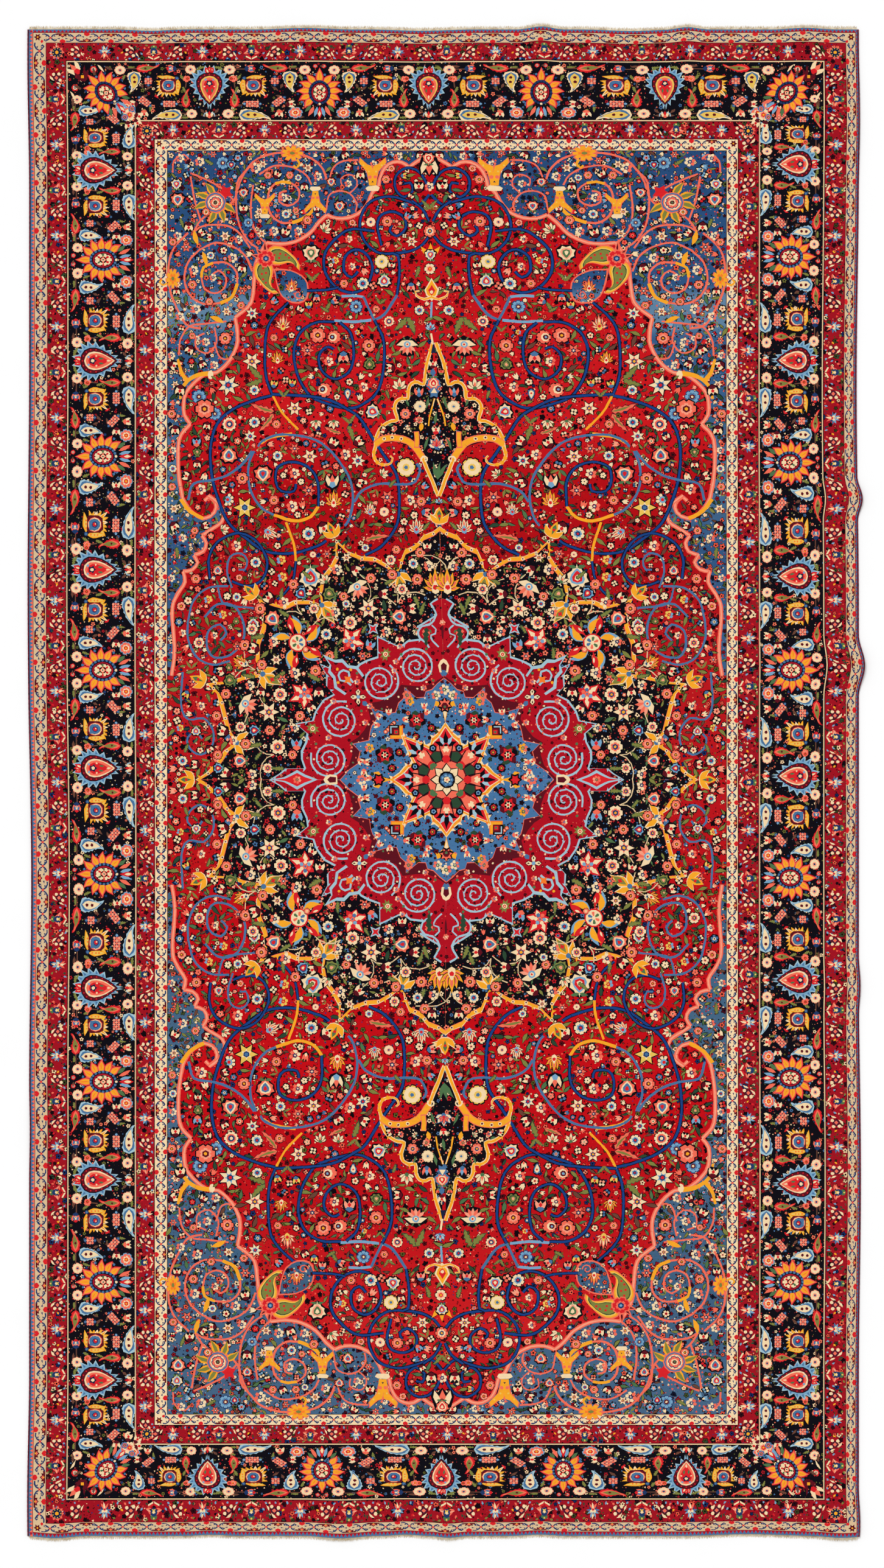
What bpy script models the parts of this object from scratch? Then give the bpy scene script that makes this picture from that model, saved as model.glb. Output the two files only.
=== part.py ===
"""A long hand-knotted Persian rug lying flat on the floor.

Five pieces: the knotted pile with its woven ground, an overcast cord down each long side,
and a comb of kilim end and warp fringe across each short side.
Metres, +X to the right, +Y along the rug, +Z up, with the floor at z = 0.
"""

import math
from collections import namedtuple

import bmesh
import bpy
from mathutils import Vector
from mathutils.geometry import delaunay_2d_cdt

# Driving dimensions.
PILE_WIDTH = 3.664
PILE_LENGTH = 6.680
PILE_THICKNESS = 0.009
CORD_DIAMETER = 0.008
KILIM_DEPTH = 0.006
FRINGE_LENGTH = 0.010
FRINGE_THICKNESS = 0.0025
SEAM_GAP = 0.0003

# The fringe's bundles of warp ends.
BUNDLE_PITCH = 0.040
BUNDLE_FILL = 0.80
BUNDLE_TAPER = 0.80
BUNDLE_UNEVENNESS = 0.0025
BUNDLE_SLANT = 0.004

# How closely the sheets follow their ripples.
EDGE_STEP = 0.20
INNER_STEP = 0.27
RIPPLE_STEPS = (-1.0, -0.7, -0.4, -0.15, 0.15, 0.4, 0.7, 1.0)
RIPPLE_DEPTHS = (0.2, 0.5, 0.95)
NARROW_RIPPLE = 0.30
LEAST_SPACING = 0.012
INNER_SPACING = 0.036
EDGE_CLEARANCE = 0.030
CORD_SIDES = 8

# A ripple pushes its stretch of the edge outwards and lifts it, and fades out inwards.
# at and half_length run along the side, from its middle; reach runs inwards from the edge.
Ripple = namedtuple("Ripple", "side at half_length out lift reach")
RIPPLES = (
    Ripple("left", 3.22, 0.60, 0.008, 0.000, 0.60),
    Ripple("left", 0.85, 1.00, 0.007, 0.000, 0.90),
    Ripple("left", -0.45, 0.90, -0.009, 0.000, 0.90),
    Ripple("left", -1.55, 0.22, -0.003, 0.004, 0.30),
    Ripple("left", -3.20, 0.60, 0.009, 0.000, 0.60),
    Ripple("right", 2.95, 0.35, 0.005, 0.003, 0.40),
    Ripple("right", 1.75, 1.00, -0.010, 0.000, 0.80),
    Ripple("right", 1.26, 0.10, 0.022, 0.010, 0.50),
    Ripple("right", 0.52, 0.14, 0.027, 0.014, 0.55),
    Ripple("right", -0.90, 0.14, 0.007, 0.007, 0.40),
    Ripple("right", -1.75, 0.90, 0.009, 0.000, 0.80),
    Ripple("right", -3.28, 0.16, 0.006, 0.004, 0.30),
    Ripple("top", -1.30, 0.16, -0.006, 0.000, 0.30),
    Ripple("top", -0.62, 0.22, 0.006, 0.004, 0.35),
    Ripple("top", -0.10, 0.24, -0.006, 0.000, 0.35),
    Ripple("top", 0.43, 0.10, 0.013, 0.008, 0.40),
    Ripple("top", 0.83, 0.22, -0.007, 0.000, 0.35),
    Ripple("top", 1.08, 0.09, 0.010, 0.007, 0.35),
    Ripple("top", 1.60, 0.14, 0.007, 0.004, 0.30),
    Ripple("bottom", -1.72, 0.14, 0.010, 0.003, 0.30),
    Ripple("bottom", -1.03, 0.12, -0.005, 0.000, 0.30),
    Ripple("bottom", -0.46, 0.16, 0.010, 0.006, 0.40),
    Ripple("bottom", -0.17, 0.10, -0.006, 0.000, 0.30),
    Ripple("bottom", 0.02, 0.09, 0.008, 0.006, 0.40),
    Ripple("bottom", 0.42, 0.12, -0.006, 0.000, 0.30),
    Ripple("bottom", 1.35, 0.30, -0.008, 0.000, 0.35),
    Ripple("bottom", 1.76, 0.14, 0.008, 0.005, 0.30),
)

# The middle of the uneven outline, measured from the middle of the even rectangle.
OUTLINE_MIDDLE = (0.0084, 0.0012)

# Each side's outward direction.
OUTWARD = {"left": (-1, 0), "right": (1, 0), "top": (0, 1), "bottom": (0, -1)}


def clear_scene():
    for obj in list(bpy.data.objects):
        bpy.data.objects.remove(obj, do_unlink=True)


def fabric(name, colour, roughness):
    material = bpy.data.materials.new(name)
    material.use_nodes = True
    shader = material.node_tree.nodes["Principled BSDF"]
    shader.inputs["Base Color"].default_value = (*colour, 1.0)
    shader.inputs["Roughness"].default_value = roughness
    shader.inputs["Metallic"].default_value = 0.0
    return material


def inward_distance(side, u, v):
    """How far a point of the flat rug lies inside one of its sides."""
    x, y = OUTWARD[side]
    half = PILE_WIDTH / 2 if x else PILE_LENGTH / 2
    return half - (u * x + v * y)


def ripple_weight(ripple, u, v):
    along = v if ripple.side in ("left", "right") else u
    turn = (along - ripple.at) / ripple.half_length
    inside = max(0.0, inward_distance(ripple.side, u, v)) / ripple.reach
    if abs(turn) >= 1 or inside >= 1:
        return 0.0
    return 0.5 * (1 + math.cos(math.pi * turn)) * (1 - inside) ** 2


def placed(u, v):
    """Where a point of the flat rug lies once its edges ripple and its outline is centred."""
    x, y, lift = u - OUTLINE_MIDDLE[0], v - OUTLINE_MIDDLE[1], 0.0
    for ripple in RIPPLES:
        weight = ripple_weight(ripple, u, v)
        x += OUTWARD[ripple.side][0] * ripple.out * weight
        y += OUTWARD[ripple.side][1] * ripple.out * weight
        lift += ripple.lift * weight
    return Vector((x, y, lift))


def stations(side):
    """Places along one side: even steps, and closer ones over each narrow ripple."""
    half = PILE_LENGTH / 2 if side in ("left", "right") else PILE_WIDTH / 2
    count = round(2 * half / EDGE_STEP)
    wanted = []
    for ripple in RIPPLES:
        if ripple.side == side and ripple.half_length < NARROW_RIPPLE:
            wanted += [ripple.at + step * ripple.half_length for step in RIPPLE_STEPS]
    wanted += [-half + 2 * half * i / count for i in range(1, count)]
    kept = [-half, half]
    for place in wanted:
        if abs(place) < half and min(abs(place - other) for other in kept) > LEAST_SPACING:
            kept.append(place)
    return sorted(kept)


def rug_rim():
    """The pile's corners and edge points, anticlockwise from the lower left, on the flat rug."""
    half_width, half_length = PILE_WIDTH / 2, PILE_LENGTH / 2
    rim = [(u, -half_length) for u in stations("bottom")[:-1]]
    rim += [(half_width, v) for v in stations("right")[:-1]]
    rim += [(u, half_length) for u in reversed(stations("top")[1:])]
    rim += [(-half_width, v) for v in reversed(stations("left")[1:])]
    return rim


def inner_points():
    """Points inside the rim: an even grid, and rows down each narrow ripple."""
    wanted = []
    for ripple in RIPPLES:
        if ripple.half_length >= NARROW_RIPPLE:
            continue
        out_x, out_y = OUTWARD[ripple.side]
        for depth in RIPPLE_DEPTHS:
            inset = depth * ripple.reach
            for step in RIPPLE_STEPS[::2]:
                along = ripple.at + step * ripple.half_length
                if out_x:
                    wanted.append((out_x * (PILE_WIDTH / 2 - inset), along))
                else:
                    wanted.append((along, out_y * (PILE_LENGTH / 2 - inset)))
    columns = round(PILE_WIDTH / INNER_STEP)
    rows = round(PILE_LENGTH / INNER_STEP)
    for row in range(1, rows):
        for column in range(1, columns):
            u = PILE_WIDTH * (column / columns - 0.5)
            v = PILE_LENGTH * (row / rows - 0.5)
            wanted.append((u, v))
    kept = []
    for u, v in wanted:
        near_edge = min(inward_distance(side, u, v) for side in OUTWARD) < EDGE_CLEARANCE
        near_point = any(math.hypot(u - a, v - b) < INNER_SPACING for a, b in kept)
        if not near_edge and not near_point:
            kept.append((u, v))
    return kept


def sheet_object(name, rim, inside, place, thickness, material):
    """A closed sheet: the filled rim placed by a function, and a second layer above it."""
    flat = [Vector(point) for point in rim + inside]
    border = [(i, (i + 1) % len(rim)) for i in range(len(rim))]
    points, _, triangles, *_ = delaunay_2d_cdt(flat, border, [], 1, 1e-6)
    mesh = bmesh.new()
    lower = [mesh.verts.new(place(*point)) for point in points]
    upper = [mesh.verts.new(place(*point) + Vector((0, 0, thickness))) for point in points]
    for triangle in triangles:
        mesh.faces.new([upper[i] for i in triangle])
        mesh.faces.new([lower[i] for i in reversed(triangle)])
    for a, b in border:
        mesh.faces.new((lower[a], lower[b], upper[b], upper[a]))
    bmesh.ops.recalc_face_normals(mesh, faces=mesh.faces)
    return finished_object(name, mesh, material)


def finished_object(name, mesh, material):
    data = bpy.data.meshes.new(name)
    mesh.to_mesh(data)
    mesh.free()
    data.materials.append(material)
    obj = bpy.data.objects.new(name, data)
    bpy.context.scene.collection.objects.link(obj)
    return obj


def build_pile():
    colour = fabric("wool_pile", (0.32, 0.030, 0.035), 0.95)
    rim = rug_rim()
    return sheet_object("pile", rim, inner_points(), placed, PILE_THICKNESS, colour)


def build_side_cord(name, side, material):
    """An overcast cord that runs down one long side, against the pile's wall."""
    outward = OUTWARD[side][0]
    radius = CORD_DIAMETER / 2
    ring_points = []
    for i in range(CORD_SIDES):
        angle = 2 * math.pi * (i + 0.5) / CORD_SIDES
        across = radius * math.cos(angle) / math.cos(math.pi / CORD_SIDES)
        height = radius * math.sin(angle) / math.cos(math.pi / CORD_SIDES)
        ring_points.append((across, height))
    mesh = bmesh.new()
    rings = []
    for v in stations(side):
        edge = placed(outward * PILE_WIDTH / 2, v)
        centre = edge + Vector((outward * (SEAM_GAP + radius), 0, radius))
        rings.append([mesh.verts.new(centre + Vector((a, 0, h))) for a, h in ring_points])
    bmesh.ops.contextual_create(mesh, geom=rings[0])
    bmesh.ops.contextual_create(mesh, geom=rings[-1])
    for first, second in zip(rings, rings[1:]):
        for i in range(CORD_SIDES):
            j = (i + 1) % CORD_SIDES
            mesh.faces.new((first[i], first[j], second[j], second[i]))
    bmesh.ops.recalc_face_normals(mesh, faces=mesh.faces)
    bmesh.ops.triangulate(mesh, faces=mesh.faces)
    obj = finished_object(name, mesh, material)
    obj.data.shade_smooth()
    return obj


def build_fringe(name, side, material):
    """A comb across one short side: the kilim end is its spine, the warp bundles its teeth."""
    outward = OUTWARD[side][1]

    def place(across, depth):
        edge = placed(across, outward * PILE_LENGTH / 2)
        return edge + Vector((0, outward * (SEAM_GAP + depth), 0))

    comb = [(across, 0.0) for across in stations(side)]
    bundles = round(PILE_WIDTH / BUNDLE_PITCH)
    pitch = PILE_WIDTH / bundles
    for i in reversed(range(bundles)):
        middle = PILE_WIDTH * ((i + 0.5) / bundles - 0.5)
        half = BUNDLE_FILL * pitch / 2
        tip = KILIM_DEPTH + FRINGE_LENGTH + BUNDLE_UNEVENNESS * math.sin(2.4 * i)
        slant = BUNDLE_SLANT * math.sin(1.7 * i)
        comb.append((middle + half, KILIM_DEPTH))
        comb.append((middle + BUNDLE_TAPER * half + slant, tip))
        comb.append((middle - BUNDLE_TAPER * half + slant, tip))
        comb.append((middle - half, KILIM_DEPTH))
    return sheet_object(name, comb, [], place, FRINGE_THICKNESS, material)


def main():
    clear_scene()
    build_pile()
    cord = fabric("overcast_wool", (0.13, 0.018, 0.030), 0.9)
    build_side_cord("side_cord_left", "left", cord)
    build_side_cord("side_cord_right", "right", cord)
    cotton = fabric("warp_cotton", (0.68, 0.60, 0.45), 0.92)
    build_fringe("end_fringe_top", "top", cotton)
    build_fringe("end_fringe_bottom", "bottom", cotton)


main()
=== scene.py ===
import cmath
import math
import random
from collections import namedtuple

import bpy
import numpy as np
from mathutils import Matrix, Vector
from mathutils.geometry import delaunay_2d_cdt


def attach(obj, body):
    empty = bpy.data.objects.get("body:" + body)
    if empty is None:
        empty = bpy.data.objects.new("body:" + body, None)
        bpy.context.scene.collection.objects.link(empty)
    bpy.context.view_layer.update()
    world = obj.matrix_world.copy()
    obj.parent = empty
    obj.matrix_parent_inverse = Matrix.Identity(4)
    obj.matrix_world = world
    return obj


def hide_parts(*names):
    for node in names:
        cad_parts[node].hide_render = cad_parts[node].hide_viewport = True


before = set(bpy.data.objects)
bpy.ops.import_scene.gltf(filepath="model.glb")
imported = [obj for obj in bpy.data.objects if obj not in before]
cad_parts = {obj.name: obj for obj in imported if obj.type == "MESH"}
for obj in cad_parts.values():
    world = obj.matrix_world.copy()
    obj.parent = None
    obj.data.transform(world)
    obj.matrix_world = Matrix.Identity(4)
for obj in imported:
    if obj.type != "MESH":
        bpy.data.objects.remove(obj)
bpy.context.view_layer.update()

yarns = {
    "black": (14, 10, 18),
    "night": (24, 34, 62),
    "navy": (33, 56, 100),
    "blue": (72, 112, 152),
    "sky": (118, 162, 192),
    "pale": (160, 192, 204),
    "cream": (242, 213, 168),
    "tan": (223, 193, 148),
    "straw": (232, 190, 88),
    "gold": (244, 164, 40),
    "orange": (244, 122, 44),
    "coral": (240, 108, 84),
    "pink": (244, 156, 126),
    "scarlet": (214, 34, 40),
    "red": (172, 22, 40),
    "maroon": (92, 18, 30),
    "brown": (104, 66, 52),
    "olive": (124, 126, 62),
    "green": (78, 112, 72),
    "forest": (44, 70, 50),
    "field": (200, 18, 28),
    "coal": (14, 12, 20),
    "jet": (14, 11, 18),
    "guardRed": (158, 18, 32),
    "rose": (174, 16, 32),
    "beige": (216, 186, 146),
    "lake": (70, 114, 158),
    "vine": (26, 64, 128),
    "spandrel": (44, 84, 130),
}

cartoon = []  # what is drawn, lowest first: a yarn and an outline


# A place in the drawing with its own directions to the right and down; a motif is drawn from it. Where
# there is a through, what is drawn passes through it last, as when one quarter is turned over.
class Spot:
    def __init__(self, origin=0, right=1, down=1j, through=None):
        self.origin = origin
        self.right = right
        self.down = down
        self.through = through

    def step(self, z):
        return self.right * z.real + self.down * z.imag

    def __call__(self, z):
        place = self.origin + self.step(z)
        return self.through(place) if self.through else place

    def spot(self, at, turn=0, size=1, flip=False):
        right = cmath.rect(size, math.radians(turn))
        down = right * (-1j if flip else 1j)
        at = complex(at)
        return Spot(self.origin + self.step(at), self.step(right), self.step(down), self.through)

    def across(self, x, y, turn=0, flip=False):
        return self.spot(complex(x, y), turn, flip=flip)


def lay(spot, yarn, outline):
    cartoon.append((yarn, [spot(complex(point)) for point in outline]))


# Outlines laid one over another, the lowest first.
def layers(spot, **outlines):
    for yarn, outline in outlines.items():
        lay(spot, yarn, outline)


def disc(radius, sides=8, squash=1.0, at=0):
    points = [cmath.rect(radius, 2 * math.pi * (i + 0.5) / sides) for i in range(sides)]
    return [at + complex(p.real, p.imag * squash) for p in points]


# A ring of lobes: each runs from the inner radius out to the outer, round or pointed.
def lobed(lobes, inner, outer, pointed=False, squash=1.0, start=0.0):
    steps = ((-1, inner), (0, outer)) if pointed else ((-1, inner), (-0.55, outer), (0.55, outer))
    outline = []
    for i in range(lobes):
        for share, radius in steps:
            point = cmath.rect(radius, start + (2 * i + share) * math.pi / lobes)
            outline.append(complex(point.real, point.imag * squash))
    return outline


def petal(angle, inner, outer, width, tip=0.78):
    points = (inner - 1j * width * 0.25, inner + (outer - inner) * tip - 0.5j * width, outer,
              inner + (outer - inner) * tip + 0.5j * width, inner + 1j * width * 0.25)
    return [p * cmath.exp(1j * angle) for p in points]


def around(count, start=0.0):
    return [start + 2 * math.pi * i / count for i in range(count)]


# A leaf or petal along its own line, which bends more and more, with its widths at even steps.
def spindle(length, widths, bend=0.0, hook=1.0, base=0):
    count = len(widths) + 1
    place = complex(base)
    near, far = [], []
    for i in range(1, count + 1):
        middle = bend * ((i - 0.5) / count) ** hook
        place += cmath.rect(length / count, middle)
        if i < count:
            side = 1j * cmath.exp(1j * bend * (i / count) ** hook) * widths[i - 1] / 2
            near.append(place + side)
            far.append(place - side)
    return [complex(base)] + near + [place] + far[::-1]


# A drop with its point to the right, smooth or toothed.
def drop(length, width, teeth=0, notch=0.0, sides=14):
    outline = []
    count = 2 * teeth if teeth else sides
    for i in range(count):
        turn = 2 * math.pi * i / count
        point = complex(math.cos(turn) * length / 2, math.sin(turn) * math.sin(turn / 2) * width * 0.62)
        if teeth and i % 2:
            point *= 1 - notch
        outline.append(point)
    return outline


# A curve through all the points, with its own points about gap apart.
def smooth(points, gap):
    points = [complex(p) for p in points]
    if len(points) < 3:
        return points
    ends = [2 * points[0] - points[1]] + points + [2 * points[-1] - points[-2]]
    curve = []
    for a, b, c, d in zip(ends, ends[1:], ends[2:], ends[3:]):
        pieces = max(1, round(abs(c - b) / gap))
        for i in range(pieces):
            t = i / pieces
            curve.append(0.5 * (2 * b + (c - a) * t + (2 * a - 5 * b + 4 * c - d) * t * t
                                + (3 * b - a - 3 * c + d) * t ** 3))
    return curve + [points[-1]]


# A line of yarn in short pieces, from its width to the end's width.
def stroke(spot, yarn, points, width, end=None, gap=6.0, chunk=3):
    curve = smooth(points, gap)
    end = width if end is None else end
    last = len(curve) - 1
    near, far = [], []
    for i, point in enumerate(curve):
        run = curve[min(i + 1, last)] - curve[max(i - 1, 0)]
        half = (width + (end - width) * i / last) / 2
        side = 1j * run / (abs(run) or 1) * half
        near.append(point + side)
        far.append(point - side)
    for i in range(0, last, chunk):
        j = min(i + chunk, last)
        lay(spot, yarn, near[i:j + 1] + far[i:j + 1][::-1])


def edged(spot, points, width, edge, yarn="gold", edgeYarn="cream", gap=6.0, ends=(None, None)):
    stroke(spot, edgeYarn, points, edge, ends[0], gap)
    stroke(spot, yarn, points, width, ends[1], gap)


# A spiral from one radius to another.
def curl(radius, inner, start, turns, steps=9):
    count = max(3, round(abs(turns) * steps))
    return [cmath.rect(radius + (inner - radius) * i / count, math.radians(start) + 2 * math.pi * turns
                       * i / count) for i in range(count + 1)]


def path(*pairs):
    return [complex(x, y) for x, y in pairs]


def corners(left, top, right, bottom):
    return [complex(left, top), complex(right, top), complex(right, bottom), complex(left, bottom)]


leafWidths = (0.55, 1.0, 0.8, 0.4)
toothedWidths = (0.9, 0.5, 1.15, 0.6, 1.0, 0.45, 0.6, 0.15)


def leaf(spot, yarn, length, width, bend=0.3, toothed=False, edge=None):
    widths = toothedWidths if toothed else leafWidths
    if edge:
        lay(spot, edge, spindle(length + 2.4, [width * w + 2 for w in widths], bend, base=-1.2))
    lay(spot, yarn, spindle(length, [width * w for w in widths], bend))


def daisy(spot, radius=9, yarn="cream", rim="pink", heart="navy", petals=8, edge=None):
    if edge:
        lay(spot, edge, lobed(petals, radius * 0.95, radius * 1.14))
    lay(spot, rim, lobed(petals, radius * 0.82, radius))
    for angle in around(petals, math.pi / petals):
        lay(spot, yarn, petal(angle, radius * 0.38, radius * 0.88, radius * 0.62))
    lay(spot, rim, disc(radius * 0.36, 6))
    lay(spot, heart, disc(radius * 0.22, 5))


def rosette(spot, radius, outer="coral", inner="cream", heart="maroon", petals=8, edge="black", dot="gold"):
    if edge:
        lay(spot, edge, lobed(petals, radius * 0.95, radius * 1.15))
    lay(spot, outer, lobed(petals, radius * 0.76, radius))
    lay(spot, inner, lobed(petals, radius * 0.45, radius * 0.62, start=math.pi / petals))
    lay(spot, heart, disc(radius * 0.40, 6))
    lay(spot, dot, disc(radius * 0.20, 5))


def bud(spot, size, petals="cream", cup="maroon", edge="black", heart="scarlet"):
    s = spot.spot(0, size=size)
    if edge:
        lay(s, edge, [-1.3, -0.6 - 1.3j, 0.9 - 1.35j, 1.5 - 0.6j, 1.35, 1.5 + 0.6j, 0.9 + 1.35j,
                      -0.6 + 1.3j])
    lay(s, petals, [-0.2, -0.3 - 0.8j, 0.5 - 1.1j, 1.2 - 0.95j, 0.6 - 0.3j, 1.2, 0.6 + 0.3j, 1.2 + 0.95j,
                    0.5 + 1.1j, -0.3 + 0.8j])
    lay(s, heart, [-0.2, 0.35 - 0.4j, 0.85, 0.35 + 0.4j])
    lay(s, cup, [-1.1, -0.6 - 0.8j, -0.1 - 0.45j, -0.1 + 0.45j, -0.6 + 0.8j])


def tulip(spot, size, outer="cream", inner="coral", base="sky", edge="black"):
    s = spot.spot(0, size=size)
    if edge:
        lay(s, edge, [-1.25, -0.9 - 1.1j, 0.6 - 1.5j, 1.6 - 1.2j, 1.1 - 0.6j, 1.75, 1.1 + 0.6j, 1.6 + 1.2j,
                      0.6 + 1.5j, -0.9 + 1.1j])
    for flip in (False, True):
        side = s.spot(0, flip=flip)
        lay(side, outer, [-0.7, -0.5 - 0.8j, 0.5 - 1.2j, 1.4 - 1.05j, 0.7 - 0.55j, 0.2 - 0.2j])
    lay(s, inner, [-0.4, 0.5 - 0.45j, 1.5, 0.5 + 0.45j])
    lay(s, base, [-1.0, -0.6 - 0.6j, 0.1 - 0.35j, 0.1 + 0.35j, -0.6 + 0.6j])


def fanFlower(spot, size):
    rays = 5
    s = spot.spot(0, size=size)
    lay(s, "black", [cmath.rect(1.75 if i % 2 else 1.35, math.radians(-110 + 220 * i / (2 * rays)))
                  for i in range(2 * rays + 1)] + [-0.9])
    for i in range(rays):
        angle = math.radians(-88 + 176 * i / (rays - 1))
        lay(s, "cream", petal(angle, 0.5, 1.5, 0.75))
    layers(s, sky=disc(0.8, 8), scarlet=disc(0.42, 6), forest=[-0.4, -0.9 - 0.7j, -1.2, -0.9 + 0.7j])


def palmette(spot, size, tips="cream", ring="sky", body="scarlet", heart="cream", edge="black"):
    s = spot.spot(0, size=size)
    if edge:
        lay(s, edge, [1.12 * p for p in drop(-2.6, 2.6, 9, 0.10)])
    lay(s, tips, drop(-2.5, 2.5, 9, 0.22))
    lay(s, ring, [p + 0.08 for p in drop(-1.7, 1.6, sides=10)])
    lay(s, body, [p + 0.10 for p in drop(-1.25, 1.15, sides=8)])
    lay(s, heart, [p + 0.2 for p in drop(-0.65, 0.6, sides=6)])
    for turn, bend in ((112, -0.3), (-112, 0.3)):
        lay(s.across(-0.8, 0, turn), "green", spindle(0.95, (0.4, 0.3), bend))


def dots(spot, along, across, ends="blue"):
    size = 3.9      # from one dot to the next
    lay(spot, "night", lobed(8, size * (along + 0.3), size * (along + 0.8),
                             squash=(across + 0.7) / (along + 0.7)))
    for i in range(-along, along + 1):
        for j in range(-across, across + 1):
            if abs(i) == along and abs(j) == across:
                continue
            yarn = ends if abs(i) == along else ("coral", "pink")[(i + j) % 2]
            lay(spot, yarn, disc(size * 0.55, 6, at=complex(i * size, j * size)))


def curledPaisley(spot, length, width, yarn, rim):
    outer = (0.8, 0.86, 1.0, 0.84, 0.92, 0.70, 0.76, 0.5, 0.54, 0.34, 0.26, 0.18, 0.14)
    lay(spot, rim, spindle(length, [w * width for w in outer], 0.9, 3.2, base=-length / 2))
    lay(spot, "blue", spindle(length * 0.86, [w * width * 0.80 for w in outer[::2]], 0.54, 3.2,
                              base=-length * 0.46))
    lay(spot, yarn, spindle(length * 0.72, [w * width for w in (0.42, 0.54, 0.50, 0.38, 0.2)], 0.36, 2.4,
                            base=-length * 0.41))
    for share in (-0.22, -0.02):
        lay(spot.across(share * length, 0), "maroon", disc(width * 0.12, 5))


def redLeaf(spot, length, width):
    outer = (0.5, 0.8, 0.72, 1.0, 0.80, 0.92, 0.6, 0.62, 0.34, 0.22, 0.2, 0.2, 0.18)
    layers(spot, scarlet=spindle(length, [w * width for w in outer], 0.9, 3.4, base=-length / 2),
           coral=spindle(length * 0.9, [w * width * 0.74 for w in outer[::2]], 0.72, 3.4,
                         base=-length * 0.46),
           olive=spindle(length * 0.62, [w * width for w in (0.28, 0.46, 0.4, 0.2)], 0.18,
                         base=-length * 0.36))
    lay(spot.across(-length * 0.12, 0), "maroon", disc(width * 0.12, 5))


# Motifs of the main border.
def flameRosette(spot, beads="blue"):
    angles = ((180, 26, 0), (152, 22, 1), (125, 21, 1), (98, 21, 1), (71, 20, 1), (45, 20, 1))
    for angle, length, curled in angles:
        for flip in (False, True) if curled else (False,):
            s = spot.spot(0, flip=flip).spot(0, -angle)
            reach = 19.0 + 3.0 * abs(math.cos(math.radians(angle)))
            layers(s, scarlet=spindle(length + 3.5, (11, 13.5, 11, 5), 0.5 * curled, 2, base=reach - 5),
                   coral=spindle(length + 1.5, (9.5, 11.5, 9, 3.6), 0.5 * curled, 2, base=reach - 4.5),
                   gold=spindle(length - 3, (7, 8.5, 5), 0.4 * curled, 2, base=reach - 4),
                   orange=spindle(length - 9, (1.4, 1.4), 0.4 * curled, 2, base=reach))
    for side in (-1, 1):
        for k, yarn in enumerate(("blue", "navy", "blue", "navy", "blue")):
            s = spot.spot(0, side * (58 + 27 * k))
            lay(s, yarn, disc(2.4, 5, at=34 + (k % 2) * 2))
        for angle, yarn, length in ((8, "sky", 20), (20, "coral", 22), (31, "green", 17)):
            lay(spot.spot(0, side * angle), yarn, spindle(length, (5, 6.5, 4), 0.2 * side, base=27))
    layers(spot, scarlet=spindle(24, (5, 8, 6), base=26), cream=spindle(12, (3, 5, 3), base=34),
           night=lobed(10, 21.6, 22.8, squash=0.80))
    for angle in around(20):
        bead = cmath.rect(20.6, angle)
        lay(spot, beads, disc(2.3, 5, at=complex(bead.real, bead.imag * 0.79)))
    layers(spot, black=disc(18.4, 14, 0.78), red=disc(17.2, 14, 0.77), maroon=disc(15.2, 12, 0.75),
           cream=lobed(9, 11.4, 14.2, squash=0.72))
    for angle in around(6, 0.5):
        lay(spot, "green" if round(angle) % 2 else "scarlet", petal(angle, 5, 10.6, 3.6))
    layers(spot, black=disc(6.4, 8, 0.85), coral=lobed(4, 3.4, 6.0, pointed=True), cream=disc(3.0, 6),
           maroon=disc(1.5, 5), night=disc(3.4, 6, at=21.5))
    lay(spot, "cream", disc(2.3, 6, at=21.5))


def bluePalmette(spot, heart="cream"):
    s = spot.across(-3, 0)
    layers(s, pale=[complex(p.real * 1.02, p.imag) for p in drop(84, 72, 19, 0.26)],
           sky=drop(77, 64, 19, 0.20))
    body = drop(62, 50, 19)
    for i, point in enumerate(drop(74, 62, 19)):
        if i % 2 == 0 and 2 < i < 36:
            inner = body[i]
            side = 1j * (point - inner) / abs(point - inner)
            lay(s, "blue", [inner + side * 1.8, point, inner - side * 1.8])
    for angle in (-24, 0, 24):
        layers(s.across(-24, 0, 180 + angle), scarlet=spindle(16, (7, 9, 5)),
               cream=spindle(10, (2.5, 3), base=2))
    layers(s, black=[p + 2 for p in drop(62, 46, sides=18)], maroon=[p + 2 for p in drop(59, 43, sides=18)])
    for i, point in enumerate(drop(54, 38.5, sides=18)):
        if 1 < i < 17:
            lay(s.spot(point + 2), "scarlet", disc(1.5, 4))
    lay(s, heart, [p + 3 for p in drop(50, 32, sides=16)])
    layers(s, coral=[p + 3 for p in drop(45, 27, sides=14)],
           scarlet=[p + 1 for p in drop(33, 20, sides=12)])
    layers(s.across(-8, 0), night=lobed(5, 4.2, 6.8, True), cream=disc(3.0, 6))
    for side in (-1, 1):
        lay(s.across(1, side * 4), "green", spindle(9, (3, 3), 0.2))
        lay(s.across(-15, side * 6.5), "sky", disc(2.2, 5))
        lay(s.across(-2, side * 8), "cream", disc(1.6, 5))
    lay(s.across(14, 0), "cream", spindle(8, (3, 2)))


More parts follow.
